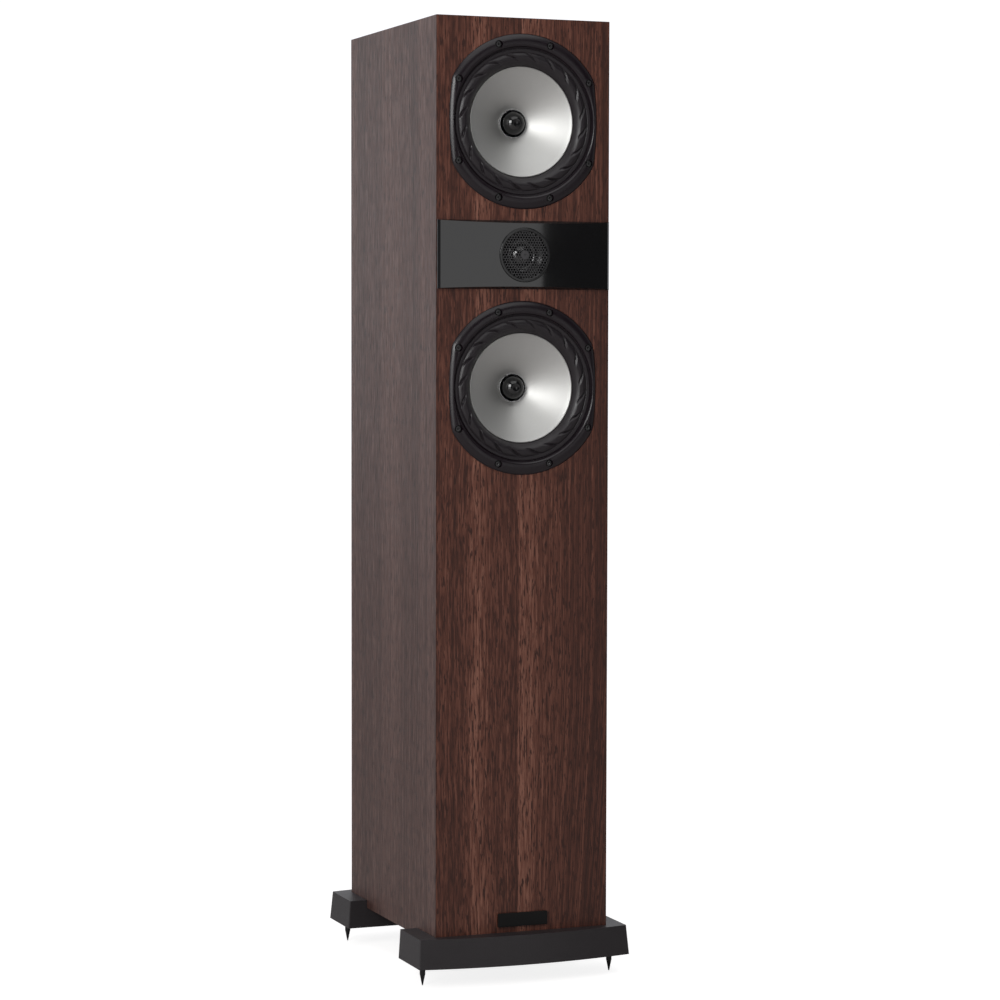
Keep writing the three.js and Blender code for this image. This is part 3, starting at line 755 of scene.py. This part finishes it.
def phase_plug_mesh(centre):
    """A hemisphere on a stalk, with a shallow round dimple at its tip."""
    radius, equator = 12.5, 31.5
    dimple, depth = 4.4, 0.8
    start = asin(dimple / radius)
    rim_y = equator - radius * cos(start)
    profile = [(dimple * 0.92 * t, rim_y + depth * (1 - t * t)) for t in shares(5)]
    for t in shares(14):
        angle = start * 1.06 + (pi / 2 - start * 1.06) * t
        profile.append((radius * sin(angle), equator - radius * cos(angle)))
    profile += [(radius, 50.9), (radius - 0.8, 51.7), (0, 51.7)]
    return lathe(profile, centre)


def yoke_mesh(centre, vent, pole, back, pole_face, plate_face, rear):
    return lathe(filleted([
        (vent, pole_face, 0.3), (pole, pole_face, 0.6), (pole, plate_face, 0), (back, plate_face, 0.5),
        (back, rear, 1.0), (vent, rear, 0.3),
    ], 3), centre)


def add_motor(name, centre, plate, magnet, yoke):
    """A driver's steel plate, its magnet, and the yoke whose pole passes through both."""
    for part, node, mesh, look, slot in (
        ("front_plate", "top_plate", rounded_ring(centre, *plate), STEEL, "motor_steel"),
        ("ferrite_ring", "magnet", rounded_ring(centre, *magnet), FERRITE, "ferrite"),
        ("back_yoke", "yoke", yoke_mesh(centre, *yoke), STEEL, "motor_steel"),
    ):
        add_piece(name + part, mesh, look, name + node)


def add_woofer(prefix):
    name, body = prefix + "_woofer_", prefix + "_cone_assembly"
    centre = middle(name + "basket", y=FRONT_Y)
    add_piece(name + "frame", basket_mesh(centre), FLANGE_BLACK, name + "basket", smooth=32)
    for number, angle in enumerate(SCREW_ANGLES, 1):
        screw = socket_screw_mesh(around(centre, SCREW_CIRCLE, angle, 1.4 - FLANGE_PROUD))
        add_piece(f"{name}screw_{number}", screw, SCREW_BLACK, smooth=30)
    ring = swept(surround_profile, 560, centre)
    node = name + "surround"
    surround = add_piece(name + "fluted_surround", ring, SURROUND_RUBBER, node, None, 60)
    radial_blend(surround)
    add_piece(name + "silver_cone", cone_mesh(centre), CONE_SILVER, name + "cone", body)
    former = coil_former_mesh(centre)
    add_piece(name + "coil_former", former, FORMER_ALUMINIUM, name + "voice_coil", body)
    coil = rounded_ring(centre, 15.12, 15.98, 49, 61, 0.3)
    add_piece(name + "coil_winding", coil, COIL_COPPER, body=body)
    ring = spider_mesh(centre)
    node = name + "spider"
    spider = add_piece(name + "corrugated_spider", ring, SPIDER_CLOTH, node, None, 70)
    radial_blend(spider)
    add_piece(name + "domed_plug", phase_plug_mesh(centre), PLUG_GLOSS, name + "phase_plug")
    add_motor(
        name, centre, plate=(16.7, 42.5, 52, 58, 0.5), magnet=(22, 44, 58.3, 73.7, 0.8),
        yoke=(4, 13.6, 41, 52, 74, 80),
    )


# ---- tweeter

BEZEL_RADIUS = 28.5
BEZEL_INNER = 24.9
GRILLE_PITCH = 3.0
GRILLE_HOLE = 1.2
GRILLE_DISC = 4.7


def tweeter_panel_mesh(centre):
    """The gloss plate. The bevel on its long edges widens and deepens from the corners to the middle."""
    low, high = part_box("tweeter_panel")
    half_width, half_height = (high.x - low.x) / 2, (high.z - low.z) / 2
    bevel = 2.4 * MM
    shape = bmesh.new()
    rings = []
    for y, deepen, end, edge, bow in (
        (high.y, 0, 0, 0, 0), (low.y + bevel, 1.9 * MM, 0, 0, 0), (low.y, 0, bevel, 0.7 * MM, 2.0 * MM),
    ):
        ring = []
        for side in (1, -1):
            for share in shares(24):
                t = side * (1 - 2 * share)
                arch = 1 - t * t
                height = half_height - edge - bow * arch
                place = (t * (half_width - end), y + deepen * arch, centre.z + side * height)
                ring.append(shape.verts.new(place))
        rings.append(ring)
    for here, there in zip(rings, rings[1:]):
        bridge(shape, here, there)
    for ring in (rings[0], rings[-1]):
        shape.faces.new(ring)
    plate = closed_mesh(shape)
    hole = bore(centre, -9, (BEZEL_RADIUS + 0.25, 3), columns=96)
    return bevelled(combined(plate, [hole]), 0.12, 2, 25)


def grille_mesh(centre):
    """A flat plate pierced by round holes on a hexagonal lattice, plain in the middle and at its rim."""
    shape = bmesh.new()
    reach = BEZEL_INNER + 1.4
    angles = [2 * pi * k / 12 for k in range(12)]
    side = GRILLE_PITCH / sqrt(3)
    row_pitch = GRILLE_PITCH * sqrt(3) / 2
    rows = int(reach / row_pitch) + 2

    def point(x, z):
        length = hypot(x, z)
        if length > reach:
            x, z = x * reach / length, z * reach / length
        return shape.verts.new(centre + Vector((x, -4.75, z)) * MM)

    def ring(x, z, reach_at):
        return [point(x + reach_at(a) * cos(a), z + reach_at(a) * sin(a)) for a in angles]

    for row in range(-rows, rows + 1):
        z = row * row_pitch
        for column in range(-rows - 2, rows + 3):
            x = (column + 0.5 * (row % 2)) * GRILLE_PITCH
            distance = hypot(x, z)
            if distance - side > reach:
                continue
            cell = ring(x, z, lambda angle: hexagon_reach(angle, GRILLE_PITCH))
            if distance > reach - 1.4 or distance < GRILLE_DISC - 0.4:
                shape.faces.new(cell)
            else:
                bridge(shape, cell, ring(x, z, lambda angle: GRILLE_HOLE))
    bmesh.ops.remove_doubles(shape, verts=shape.verts, dist=2e-5)
    bmesh.ops.recalc_face_normals(shape, faces=shape.faces)
    if sum(face.normal.y for face in shape.faces) > 0:
        bmesh.ops.reverse_faces(shape, faces=shape.faces)
    return evaluated(plain_mesh(shape), "SOLIDIFY", {"thickness": 0.5 * MM, "offset": -1})


def dome_mesh(centre):
    """The dome's cap, a half roll round it, and the same again just behind."""
    radius, height, rim_y = 12.6, 5.9, 4.4
    sphere = (radius ** 2 + height ** 2) / (2 * height)
    spread = asin(radius / sphere)
    cap = []
    for t in shares(12):
        angle = spread * t
        cap.append((sphere * sin(angle), rim_y - height + sphere * (1 - cos(angle))))
    roll = [(13.2, 4.0), (13.9, 3.6), (14.6, 3.6), (15.2, 4.0), (15.8, 4.4)]
    back_roll = [(15.8, 4.8), (15.1, 4.45), (14.5, 4.05), (13.9, 4.05), (13.3, 4.4), (12.9, 4.9)]
    inside = [(radius * 0.985, y + 0.3) for radius, y in reversed(cap)]
    return lathe(cap + roll + back_roll + inside, centre)


def add_tweeter():
    centre = middle("tweeter_faceplate", y=FRONT_Y)
    panel = tweeter_panel_mesh(centre)
    add_piece("tweeter_gloss_panel", panel, PANEL_GLOSS, "tweeter_panel", smooth=25)
    bezel = lathe(filleted([
        (BEZEL_INNER, -4.9, 0), (BEZEL_INNER + 0.2, -5.3, 0.2), (BEZEL_INNER + 1.0, -5.65, 0.4),
        (BEZEL_RADIUS, -5.65, 0.8), (BEZEL_RADIUS, -1, 0), (BEZEL_INNER + 1.8, -1, 0),
        (BEZEL_INNER + 1.8, -4.9, 0),
    ], 5), centre, columns=144)
    add_piece("tweeter_bezel_ring", bezel, BEZEL_BLACK, "tweeter_bezel")
    grille = grille_mesh(centre)
    add_piece("tweeter_perforated_cover", grille, GRILLE_BLACK, "tweeter_grille", smooth=30)
    # The cover disc's lighter grey is painted light.
    disc = lathe([
        (0, -4.35), (0.9, -4.4), (1.2, -5.12), (GRILLE_DISC - 0.3, -5.12), (GRILLE_DISC, -4.95),
        (GRILLE_DISC, -4.2), (0, -4.2),
    ], centre, columns=48)
    add_piece("tweeter_cover_disc", disc, DISC_PAINTED_LIGHT_GREY)
    horn = lathe([
        (34.3, 0.3), (34.1, 0.1), (28.4, 0.1), (28.4, -0.7), (24.4, -0.7), (22.8, -0.35), (21.4, 0.3),
        (20.0, 1.2), (18.6, 2.3), (17.3, 3.4), (16.3, 4.3), (16.3, 5.3), (30.0, 5.3), (30.0, 3), (34.3, 3),
    ], centre, columns=128)
    add_piece("tweeter_horn_plate", horn, HORN_BLACK, "tweeter_faceplate")
    dome, body = dome_mesh(centre), "tweeter_dome_assembly"
    add_piece("tweeter_soft_dome", dome, DOME_GLOSS, "tweeter_dome", body, 60)
    coil = rounded_ring(centre, 12.3, 13, 5.2, 13, 0.15)
    add_piece("tweeter_coil_winding", coil, COIL_COPPER, "tweeter_voice_coil", body)
    add_motor(
        "tweeter_", centre, plate=(13.5, 28, 5.6, 9.6), magnet=(17, 28, 9.9, 22, 0.6),
        yoke=(3, 11.8, 27, 5.6, 22.3, 27),
    )


# ---- plinth

BAR_LOW, BAR_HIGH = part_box("front_plinth_bar")
BAR_OVERHANG = (FRONT_Y - BAR_LOW.y) / MM
BAR_HALF_WIDTH_TOP = 117.6
BAR_FRONT_LEAN = 4.8
BAR_BOW_RADIUS = 560.0
INSERT_RADIUS = 5.3
BOLT_X = 55
BOLT_Y = FRONT_Y + 18 * MM


def bar_mesh():
    """The front bar: bowed and leaning outside, with a pocket for the cabinet and holes for its inserts."""
    half = BAR_HIGH.x / MM
    reach_in = (BAR_HIGH.y - FRONT_Y) / MM
    top, bottom = BAR_HIGH.z / MM, BAR_LOW.z / MM
    corner = 1.6
    centre_y = BAR_BOW_RADIUS - BAR_OVERHANG
    end_angle = asin((half - corner) / BAR_BOW_RADIUS)
    end_y = centre_y - BAR_BOW_RADIUS * cos(end_angle)
    outline = []
    for k in range(-24, 25):
        angle = end_angle * k / 24
        outline.append((BAR_BOW_RADIUS * sin(angle), centre_y - BAR_BOW_RADIUS * cos(angle)))
    ends = filleted([
        (half - corner, end_y, 0), (half, end_y + 0.4, 1.0), (half, reach_in, 1.2),
        (-half, reach_in, 1.2), (-half, end_y + 0.4, 1.0), (-half + corner, end_y, 0),
    ], 5)
    block = prism(outline + ends[1:-1], bottom, top, "Z", Vector((0, FRONT_Y, 0)))
    lean_x = 1 - BAR_HALF_WIDTH_TOP / half
    lean_y = BAR_FRONT_LEAN / (BAR_OVERHANG + reach_in)
    for vertex in block.vertices:
        rise = (vertex.co.z / MM - bottom) / (top - bottom)
        vertex.co.x *= 1 - lean_x * rise
        vertex.co.y = BAR_HIGH.y + (vertex.co.y - BAR_HIGH.y) * (1 - lean_y * rise)
    gap = 0.3 * MM
    pocket = box_mesh(
        (-HALF_WIDTH - gap, FRONT_Y - gap, CABINET_BOTTOM - gap), (HALF_WIDTH + gap, 0, BAR_HIGH.z + MM),
    )
    holes = []
    for side, x in (("left", -BOLT_X), ("right", BOLT_X)):
        insert = middle(f"front_{side}_threaded_insert", z=BAR_LOW.z)
        holes.append(bore(insert, -1, (INSERT_RADIUS, 21), axis="Z"))
        holes.append(bore(Vector((x * MM, BOLT_Y, BAR_LOW.z)), -1, (5.2, 6.4), (3.2, 30), axis="Z"))
    return bevelled(combined(block, [pocket, merged(holes)]), 0.9, 3, 28)


def thread_radius(along, angle, outer, depth, pitch):
    """Radius in mm of a right-hand thread's surface at a height and angle."""
    phase = (along / pitch - angle / (2 * pi)) % 1.0
    return outer - depth * abs(2 * phase - 1)


def spike_mesh(centre, top, taper):
    """A threaded steel stud with a plain collar and a sharp turned point, standing on Z."""
    pitch, depth, radius, shank = 1.0, 0.5, 3.0, 5.0
    start = taper + shank + 0.8
    length = top - start - 1.2
    steps = shares(int(length / pitch * 6))

    def profile_at(angle):
        points = [(0, 0), (0.35, 0.12), (0.6, 0.5), (2.75, taper - 0.5), (radius, taper)]
        points += [(radius, taper + shank), (radius - depth, start - 0.2)]
        for t in steps:
            along = start + length * t
            points.append((thread_radius(along, angle, radius, depth, pitch), along))
        root = radius - depth
        return points + [(root, top - 0.9), (radius - 1.0, top), (0.9, top), (0.7, top - 1), (0, top - 1)]

    return swept(profile_at, 32, centre, "Z")


def bolt_mesh(centre):
    """A socket-head bolt pointing up, its head's face level with a bar's underside."""

    def profile_at(angle):
        hexagon = hexagon_reach(angle, 4.0)
        return [
            (0, 3), (hexagon, 2.8), (hexagon, 0.2), (hexagon + 0.2, 0), (4.2, 0), (4.8, 0.5), (4.8, 5.6),
            (2.9, 5.6), (2.9, 26), (2.2, 27), (0, 27),
        ]

    return swept(profile_at, 36, centre, "Z")


def add_foot(key):
    """The brass insert in a bar's corner and the spike that screws into it."""
    axis = middle(key + "_spike", z=0)
    spike = spike_mesh(axis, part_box(key + "_spike")[1].z / MM, 11.7)
    add_piece(key + "_threaded_spike", spike, SPIKE_BLACK, key + "_spike", key + "_foot", 40)
    low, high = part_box(key + "_threaded_insert")
    bottom, top = low.z / MM, high.z / MM
    corners = [(3.25, bottom, 0.3), (5, bottom, 0.4), (5, top, 0.4), (3.25, top, 0.3)]
    sleeve = lathe(filleted(corners, 3), axis, "Z", 48)
    add_piece(key + "_brass_insert", sleeve, BRASS, key + "_threaded_insert")


def add_plinth():
    front = bar_mesh()
    rear = front.copy()
    rear.transform(Matrix.Rotation(pi, 4, "Z"))
    for end, mesh, y in (("front", front, BOLT_Y), ("rear", rear, -BOLT_Y)):
        add_piece(end + "_bowed_bar", mesh, BAR_CHARCOAL, end + "_plinth_bar", smooth=32)
        for side, x in (("left", -BOLT_X), ("right", BOLT_X)):
            bolt = bolt_mesh(Vector((x * MM, y, BAR_LOW.z + 0.5 * MM)))
            add_piece(f"{end}_{side}_plinth_bolt", bolt, SCREW_BLACK, smooth=30)
    for end, side in product(("front", "rear"), ("left", "right")):
        add_foot(f"{end}_{side}")


# ---- back

POSTS = (("positive", KNOB_RED, "knob_red"), ("negative", KNOB_BLACK, "knob_black"))
TRAY_SCREWS = tuple(product((-47, 47), (-32, 32)))
CUP_FLOOR = -18.5


def port_mesh(centre):
    length, inner, outside = 150.0, 28.0, 31.0
    flare = []
    for t in shares(8):
        turn = pi / 2 * t
        flare.append((inner + 8 * (1 - cos(turn)), -6.4 + 8.9 * sin(turn)))
    return lathe([
        (inner, -length + 0.4), (inner + 1.0, -length), (outside - 0.6, -length),
        (outside, -length + 0.6), (outside, 0.3), (inner + 12, 0.3), (inner + 12, 1.5),
        (inner + 11.6, 2.2), (inner + 10.6, 2.5), *reversed(flare),
    ], centre, columns=128)


def terminal_cup_mesh(centre):
    """A moulded tray set in the back: rim, sunk floor with holes for the posts, and screw seats."""
    rim = bevelled(prism(rounded_rectangle(104, 74, 7), 0.3, 2.5, "Y", centre), 0.7, 3)
    body = prism(rounded_rectangle(89, 59, 5), CUP_FLOOR - 2.5, 1, "Y", centre)
    cuts = [prism(rounded_rectangle(84, 54, 3), CUP_FLOOR, 4, "Y", centre)]
    for x in (-19, 19):
        cuts.append(bore(centre + Vector((x * MM, 0, 0)), -24, (2.9, -17)))
    for x, z in TRAY_SCREWS:
        cuts.append(bore(centre + Vector((x, 0, z)) * MM, 5, (2.6, 0.9)))
    return bevelled(combined(combined(rim, [body], "UNION"), cuts), 0.25, 2, 40)


def knob_mesh(centre):
    """A fluted grip with a chamfered end, bored through."""
    base, ribs = -14.2, 18

    def profile_at(angle):
        grip = 8 - 0.45 * (0.5 - 0.5 * cos(ribs * angle)) ** 2
        outline = (
            (3.4, 0.2), (3.6, 0), (6.9, 0), (7.3, 0.3), (7.6, 1.2), (grip, 1.8), (grip, 14.2),
            (7.6, 14.8), (7.3, 15.4), (6.6, 17.4), (6.2, 18), (3.7, 18), (3.4, 17.7),
        )
        return [(radius, base + along) for radius, along in outline]

    return swept(profile_at, ribs * 12, centre)


def stud_mesh(centre):
    """A threaded post with a 4 mm socket for a plug, and a collar on the cup's floor."""
    base = -18.2

    def profile_at(angle):
        points = [(0, -14), (2.3, -14), (2.5, -13.8), (2.5, 0), (6, 0), (6, 2.0), (5.8, 2.2), (2.7, 2.2)]
        for t in shares(96):
            along = 2.6 + 18.0 * t
            points.append((thread_radius(base + along, angle, 3.0, 0.35, 1.0), along))
        points += [(2.7, 21.3), (2.3, 21.4), (2.0, 21.0), (2.0, 8), (0, 8)]
        return [(radius, base + along) for radius, along in points]

    return swept(profile_at, 32, centre)


def add_back():
    port = port_mesh(middle("port_tube", x=0, y=BACK_Y))
    add_piece("flared_port_tube", port, MOULDED_BLACK, "port_tube")
    face = middle("terminal_cup", x=0, y=BACK_Y)
    tray = terminal_cup_mesh(face)
    add_piece("terminal_tray", tray, MOULDED_BLACK, "terminal_cup", smooth=30)
    for number, (x, z) in enumerate(TRAY_SCREWS, 1):
        screw = socket_screw_mesh(Vector((0, 0, 0)), head=2.3, head_height=1.2, socket=1.8, thread=1.2)
        screw.transform(Matrix.Rotation(pi, 4, "Z"))
        screw.transform(Matrix.Translation(face + Vector((x, 2.3, z)) * MM))
        add_piece(f"terminal_tray_screw_{number}", screw, SCREW_BLACK, smooth=30)
    for key, look, slot in POSTS:
        place = middle(key + "_post_stud", y=BACK_Y, z=face.z)
        add_piece(key + "_threaded_post", stud_mesh(place), BRASS, key + "_post_stud", smooth=40)
        washer = rounded_ring(place, 3.4, 6.8, -15.7, -14.5, 0.25)
        add_piece(key + "_clamp_washer", washer, BRASS, key + "_post_washer", key + "_clamp")
        add_piece(key + "_fluted_knob", knob_mesh(place), look, key + "_post_knob", key + "_knob", 40)


# ---- inside


def tube_mesh(points, radius):
    """A smooth closed tube through a few points, all in mm."""
    curve = bpy.data.curves.new("tube", "CURVE")
    curve.dimensions = "3D"
    curve.resolution_u = 14
    curve.bevel_depth = radius * MM
    curve.bevel_resolution = 3
    curve.use_fill_caps = True
    spline = curve.splines.new("BEZIER")
    spline.bezier_points.add(len(points) - 1)
    for knot, point in zip(spline.bezier_points, points):
        knot.co = Vector(point) * MM
        knot.handle_left_type = "AUTO"
        knot.handle_right_type = "AUTO"
    shape = bmesh.new()
    shape.from_mesh(evaluated(curve))
    return closed_mesh(shape)


def dress_cad_node(node, look):
    """Gives a CAD node that stays in the finished model its material."""
    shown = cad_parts[node]
    shown.data.materials.clear()
    shown.data.materials.append(look)


def add_inductor(node):
    """An air-cored coil: a flanged bobbin standing on the board, filled with copper wire."""
    radius, height = spans(node).x / 2, spans(node).z
    hollow, wall = 0.44 * radius, 1.6
    core = hollow + wall
    base = middle(node, z=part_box(node)[0].z)
    bobbin = filleted([
        (hollow, 0, 0.4), (radius, 0, 0.4), (radius, wall, 0.4), (core, wall, 0), (core, height - wall, 0),
        (radius, height - wall, 0.4), (radius, height, 0.4), (hollow, height, 0.4),
    ], 3)
    add_piece(node + "_bobbin", lathe(bobbin, base, "Z"), MOULDED_BLACK, node)
    low, high, inner, outer = wall + 0.05, height - wall - 0.05, core + 0.05, radius - 1.0
    turns = filleted([(inner, low, 0), (outer, low, 0.9), (outer, high, 0.9), (inner, high, 0)], 4)
    add_piece(node + "_winding", lathe(turns, base, "Z"), INDUCTOR_COPPER)


def add_capacitor():
    """A film capacitor lying along Y, with resin ends and its two leads cut short."""
    node = "tweeter_capacitor"
    radius, length = spans(node).x / 2, spans(node).y
    lead, stub = 0.5, 5.0
    half = [
        (0, -stub), (lead, -stub), (lead, 0.8), (0.78 * radius, 0.6), (0.8 * radius, 0),
        (0.93 * radius, 0.5), (radius, 2.2),
    ]
    profile = half + [(r, length - along) for r, along in reversed(half)]
    body = lathe(profile, middle(node, y=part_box(node)[0].y))
    add_piece("tweeter_film_capacitor", body, SLEEVE, node)


def add_board():
    """The crossover's circuit board, with a screw hole in each corner and rows of solder holes."""
    low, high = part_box("crossover_board")
    through = spans("crossover_board").z + 1
    centre_y, inset = (low.y + high.y) / 2, 6 * MM
    holes = []
    for x in (low.x + inset, high.x - inset):
        for y in (low.y + inset, high.y - inset):
            holes.append(bore(Vector((x, y, low.z)), -1, (1.9, through), axis="Z", columns=24))
        for k in range(5):
            place = Vector((x, centre_y + (k - 2) * 12 * MM, low.z))
            holes.append(bore(place, -1, (0.7, through), axis="Z", columns=12))
    board = bevelled(combined(box_mesh(low, high), [merged(holes)]), 0.15)
    add_piece("crossover_circuit_board", board, CIRCUIT, "crossover_board", smooth=30)


def add_wires():
    """Two insulated wires to each driver, climbing the cabinet together and turning off one by one."""
    trunk_x, trunk_y = -40, 50
    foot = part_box("crossover_board")[1].z / MM + 1.5
    tubes = []
    for i, node in enumerate(("lower_woofer_basket", "tweeter_faceplate", "upper_woofer_basket")):
        z = middle(node).z / MM
        for side in (-1, 1):
            x, y = trunk_x + 2.7 * (i - 1), trunk_y + 1.4 * side
            tubes.append(tube_mesh([
                (x, y - 5, foot), (x, y, foot + 60), (x, y, (foot + z) / 2), (x, y, z - 75),
                (-46 + side, 20, z - 45), (-52, -30, z - 30 + 1.5 * side), (-52, -72, z - 22 + 1.5 * side),
            ], 1.2))
    add_piece("insulated_wires", merged(tubes), WIRE, "wiring_harness", smooth=60)


def wadding_sheet(shape, side, columns, rows):
    """Rows of points over the mat's front (-1) or back (1) face, lumpy and thinner towards its edges."""
    low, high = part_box("damping_wadding")
    centre, half = (low + high) / 2, (high - low) / 2
    sheet = []
    for across in shares(columns):
        line = []
        for up in shares(rows):
            u, v = 2 * across - 1, 2 * up - 1
            plump = 0.3 + 0.7 * sqrt((1 - u ** 8) * (1 - v ** 8))
            lump = 0.86 + 0.13 * noise.noise(Vector((5 * u, 9 * v, 3 * side)))
            offset = (0.97 * u * half.x, side * plump * lump * half.y, 0.98 * v * half.z)
            line.append(shape.verts.new(centre + Vector(offset)))
        sheet.append(line)
    return sheet


def add_wadding():
    """A soft mat behind the woofers."""
    shape = bmesh.new()
    rims = []
    for side in (-1, 1):
        sheet = wadding_sheet(shape, side, 60, 110)
        for here, there in zip(sheet, sheet[1:]):
            for j in range(len(here) - 1):
                shape.faces.new((here[j], there[j], there[j + 1], here[j + 1]))
        ends = [line[-1] for line in sheet[:-1]] + sheet[-1][:0:-1] + [line[0] for line in sheet[:0:-1]]
        rims.append(sheet[0][:-1] + ends)
    bridge(shape, *rims)
    add_piece("soft_wadding_mat", closed_mesh(shape), WADDING, "damping_wadding", smooth=80)


def add_inside():
    dress_cad_node("bottom_panel", BACK_WALNUT)
    for node in ("upper_brace", "lower_brace"):
        dress_cad_node(node, BOARD)
    add_board()
    add_inductor("woofer_inductor")
    add_inductor("tweeter_inductor")
    add_capacitor()
    add_wires()
    add_wadding()


# ---- stage

FLOOR_SHADE = (0.51, 0.49, 0.48)
FLOOR_LIFT = 0.84
FLOOR_SIZE = 30.0


def add_floor():
    """Pale floor, lifted to white where the camera sees it. In reflections it is only mid grey."""
    shape = bmesh.new()
    bmesh.ops.create_grid(shape, x_segments=1, y_segments=1, size=FLOOR_SIZE / 2)
    floor = in_scene("floor", plain_mesh(shape))
    paint = bpy.data.materials.new("pale floor")
    paint.use_nodes = True
    wiring = Wiring(paint.node_tree)
    seen = wiring.node("LightPath").outputs["Is Camera Ray"]
    wiring.feed(paint.node_tree.nodes["Principled BSDF"], {
        "Base Color": (*FLOOR_SHADE, 1),
        "Roughness": 0.9,
        "Emission Color": (1, 1, 1, 1),
        "Emission Strength": wiring.times(seen, FLOOR_LIFT),
    })
    floor.data.materials.append(paint)


def add_area_light(name, place, target, width, height, radiance):
    """A soft rectangular light that shows in reflections but not to the camera."""
    lamp = bpy.data.lights.new(name, "AREA")
    lamp.shape = "RECTANGLE"
    lamp.size = width
    lamp.size_y = height
    lamp.energy = radiance * pi * width * height
    light = in_scene(name, lamp)
    light.location = place
    light.rotation_euler = (Vector(target) - Vector(place)).to_track_quat("-Z", "Y").to_euler()
    light.visible_camera = False


def add_world():
    """White to the camera. As light it is a cool white, brightest low behind the object."""
    world = bpy.data.worlds.new("studio")
    bpy.context.scene.world = world
    world.use_nodes = True
    wiring = Wiring(world.node_tree)
    axes = wiring.node("SeparateXYZ", {0: wiring.node("TexCoord").outputs["Generated"]}).outputs
    behind = wiring.between(axes["Y"], -0.5, 0.9, 0.07, 1.15)
    low = wiring.between(axes["Z"], 0.0, 0.12, 1.0, 0.68)
    seen = wiring.node("LightPath").outputs["Is Camera Ray"]
    strength = wiring.node("Mix", {0: seen, 2: wiring.times(behind, low), 3: 1.1}).outputs[0]
    back = world.node_tree.nodes["Background"]
    wiring.feed(back, {"Color": (0.96, 0.965, 1.0, 1), "Strength": strength})


def add_lights():
    """A strong key on the left in front of a tall strip, a soft box above, and a panel the gloss shows."""
    woofers = (0, FRONT_Y, 0.75)
    add_area_light("key", (-2.13, -2.08, 1.7), woofers, 1.25, 1.25, 6.4)
    add_area_light("tall strip", (-2.35, -2.2, 1.35), (0, FRONT_Y, 1.35), 1.2, 2.6, 2.2)
    add_area_light("soft box above", (0.0, -1.35, 2.8), (0, -1.1, 0), 2.4, 2.7, 1.15)
    add_area_light("side panel", (1.077, -4.0, 0.9), (1.077, 0, 0.9), 1.0, 1.8, 1.0)


def add_camera():
    """21 degrees to the left of the front, level with the cabinet's upper half and about 3 m away."""
    turn, tilt, roll = radians(21.18), radians(-3.019), radians(0.115)
    data = bpy.data.cameras.new("camera")
    data.lens = 106.74
    data.sensor_width = 36.0
    camera = in_scene("camera", data)
    aim = Matrix.Rotation(-turn, 4, "Z")
    aim @= Matrix.Rotation(pi / 2 + tilt, 4, "X")
    aim @= Matrix.Rotation(roll, 4, "Z")
    camera.matrix_world = Matrix.Translation((-1.1517, -3.046, 0.677)) @ aim
    bpy.context.scene.camera = camera
    bpy.context.scene.view_settings.view_transform = "Standard"


add_camera()
add_cabinet()
add_badge()
for prefix in WOOFERS:
    add_woofer(prefix)
add_tweeter()
add_plinth()
add_back()
add_inside()
add_floor()
add_world()
add_lights()
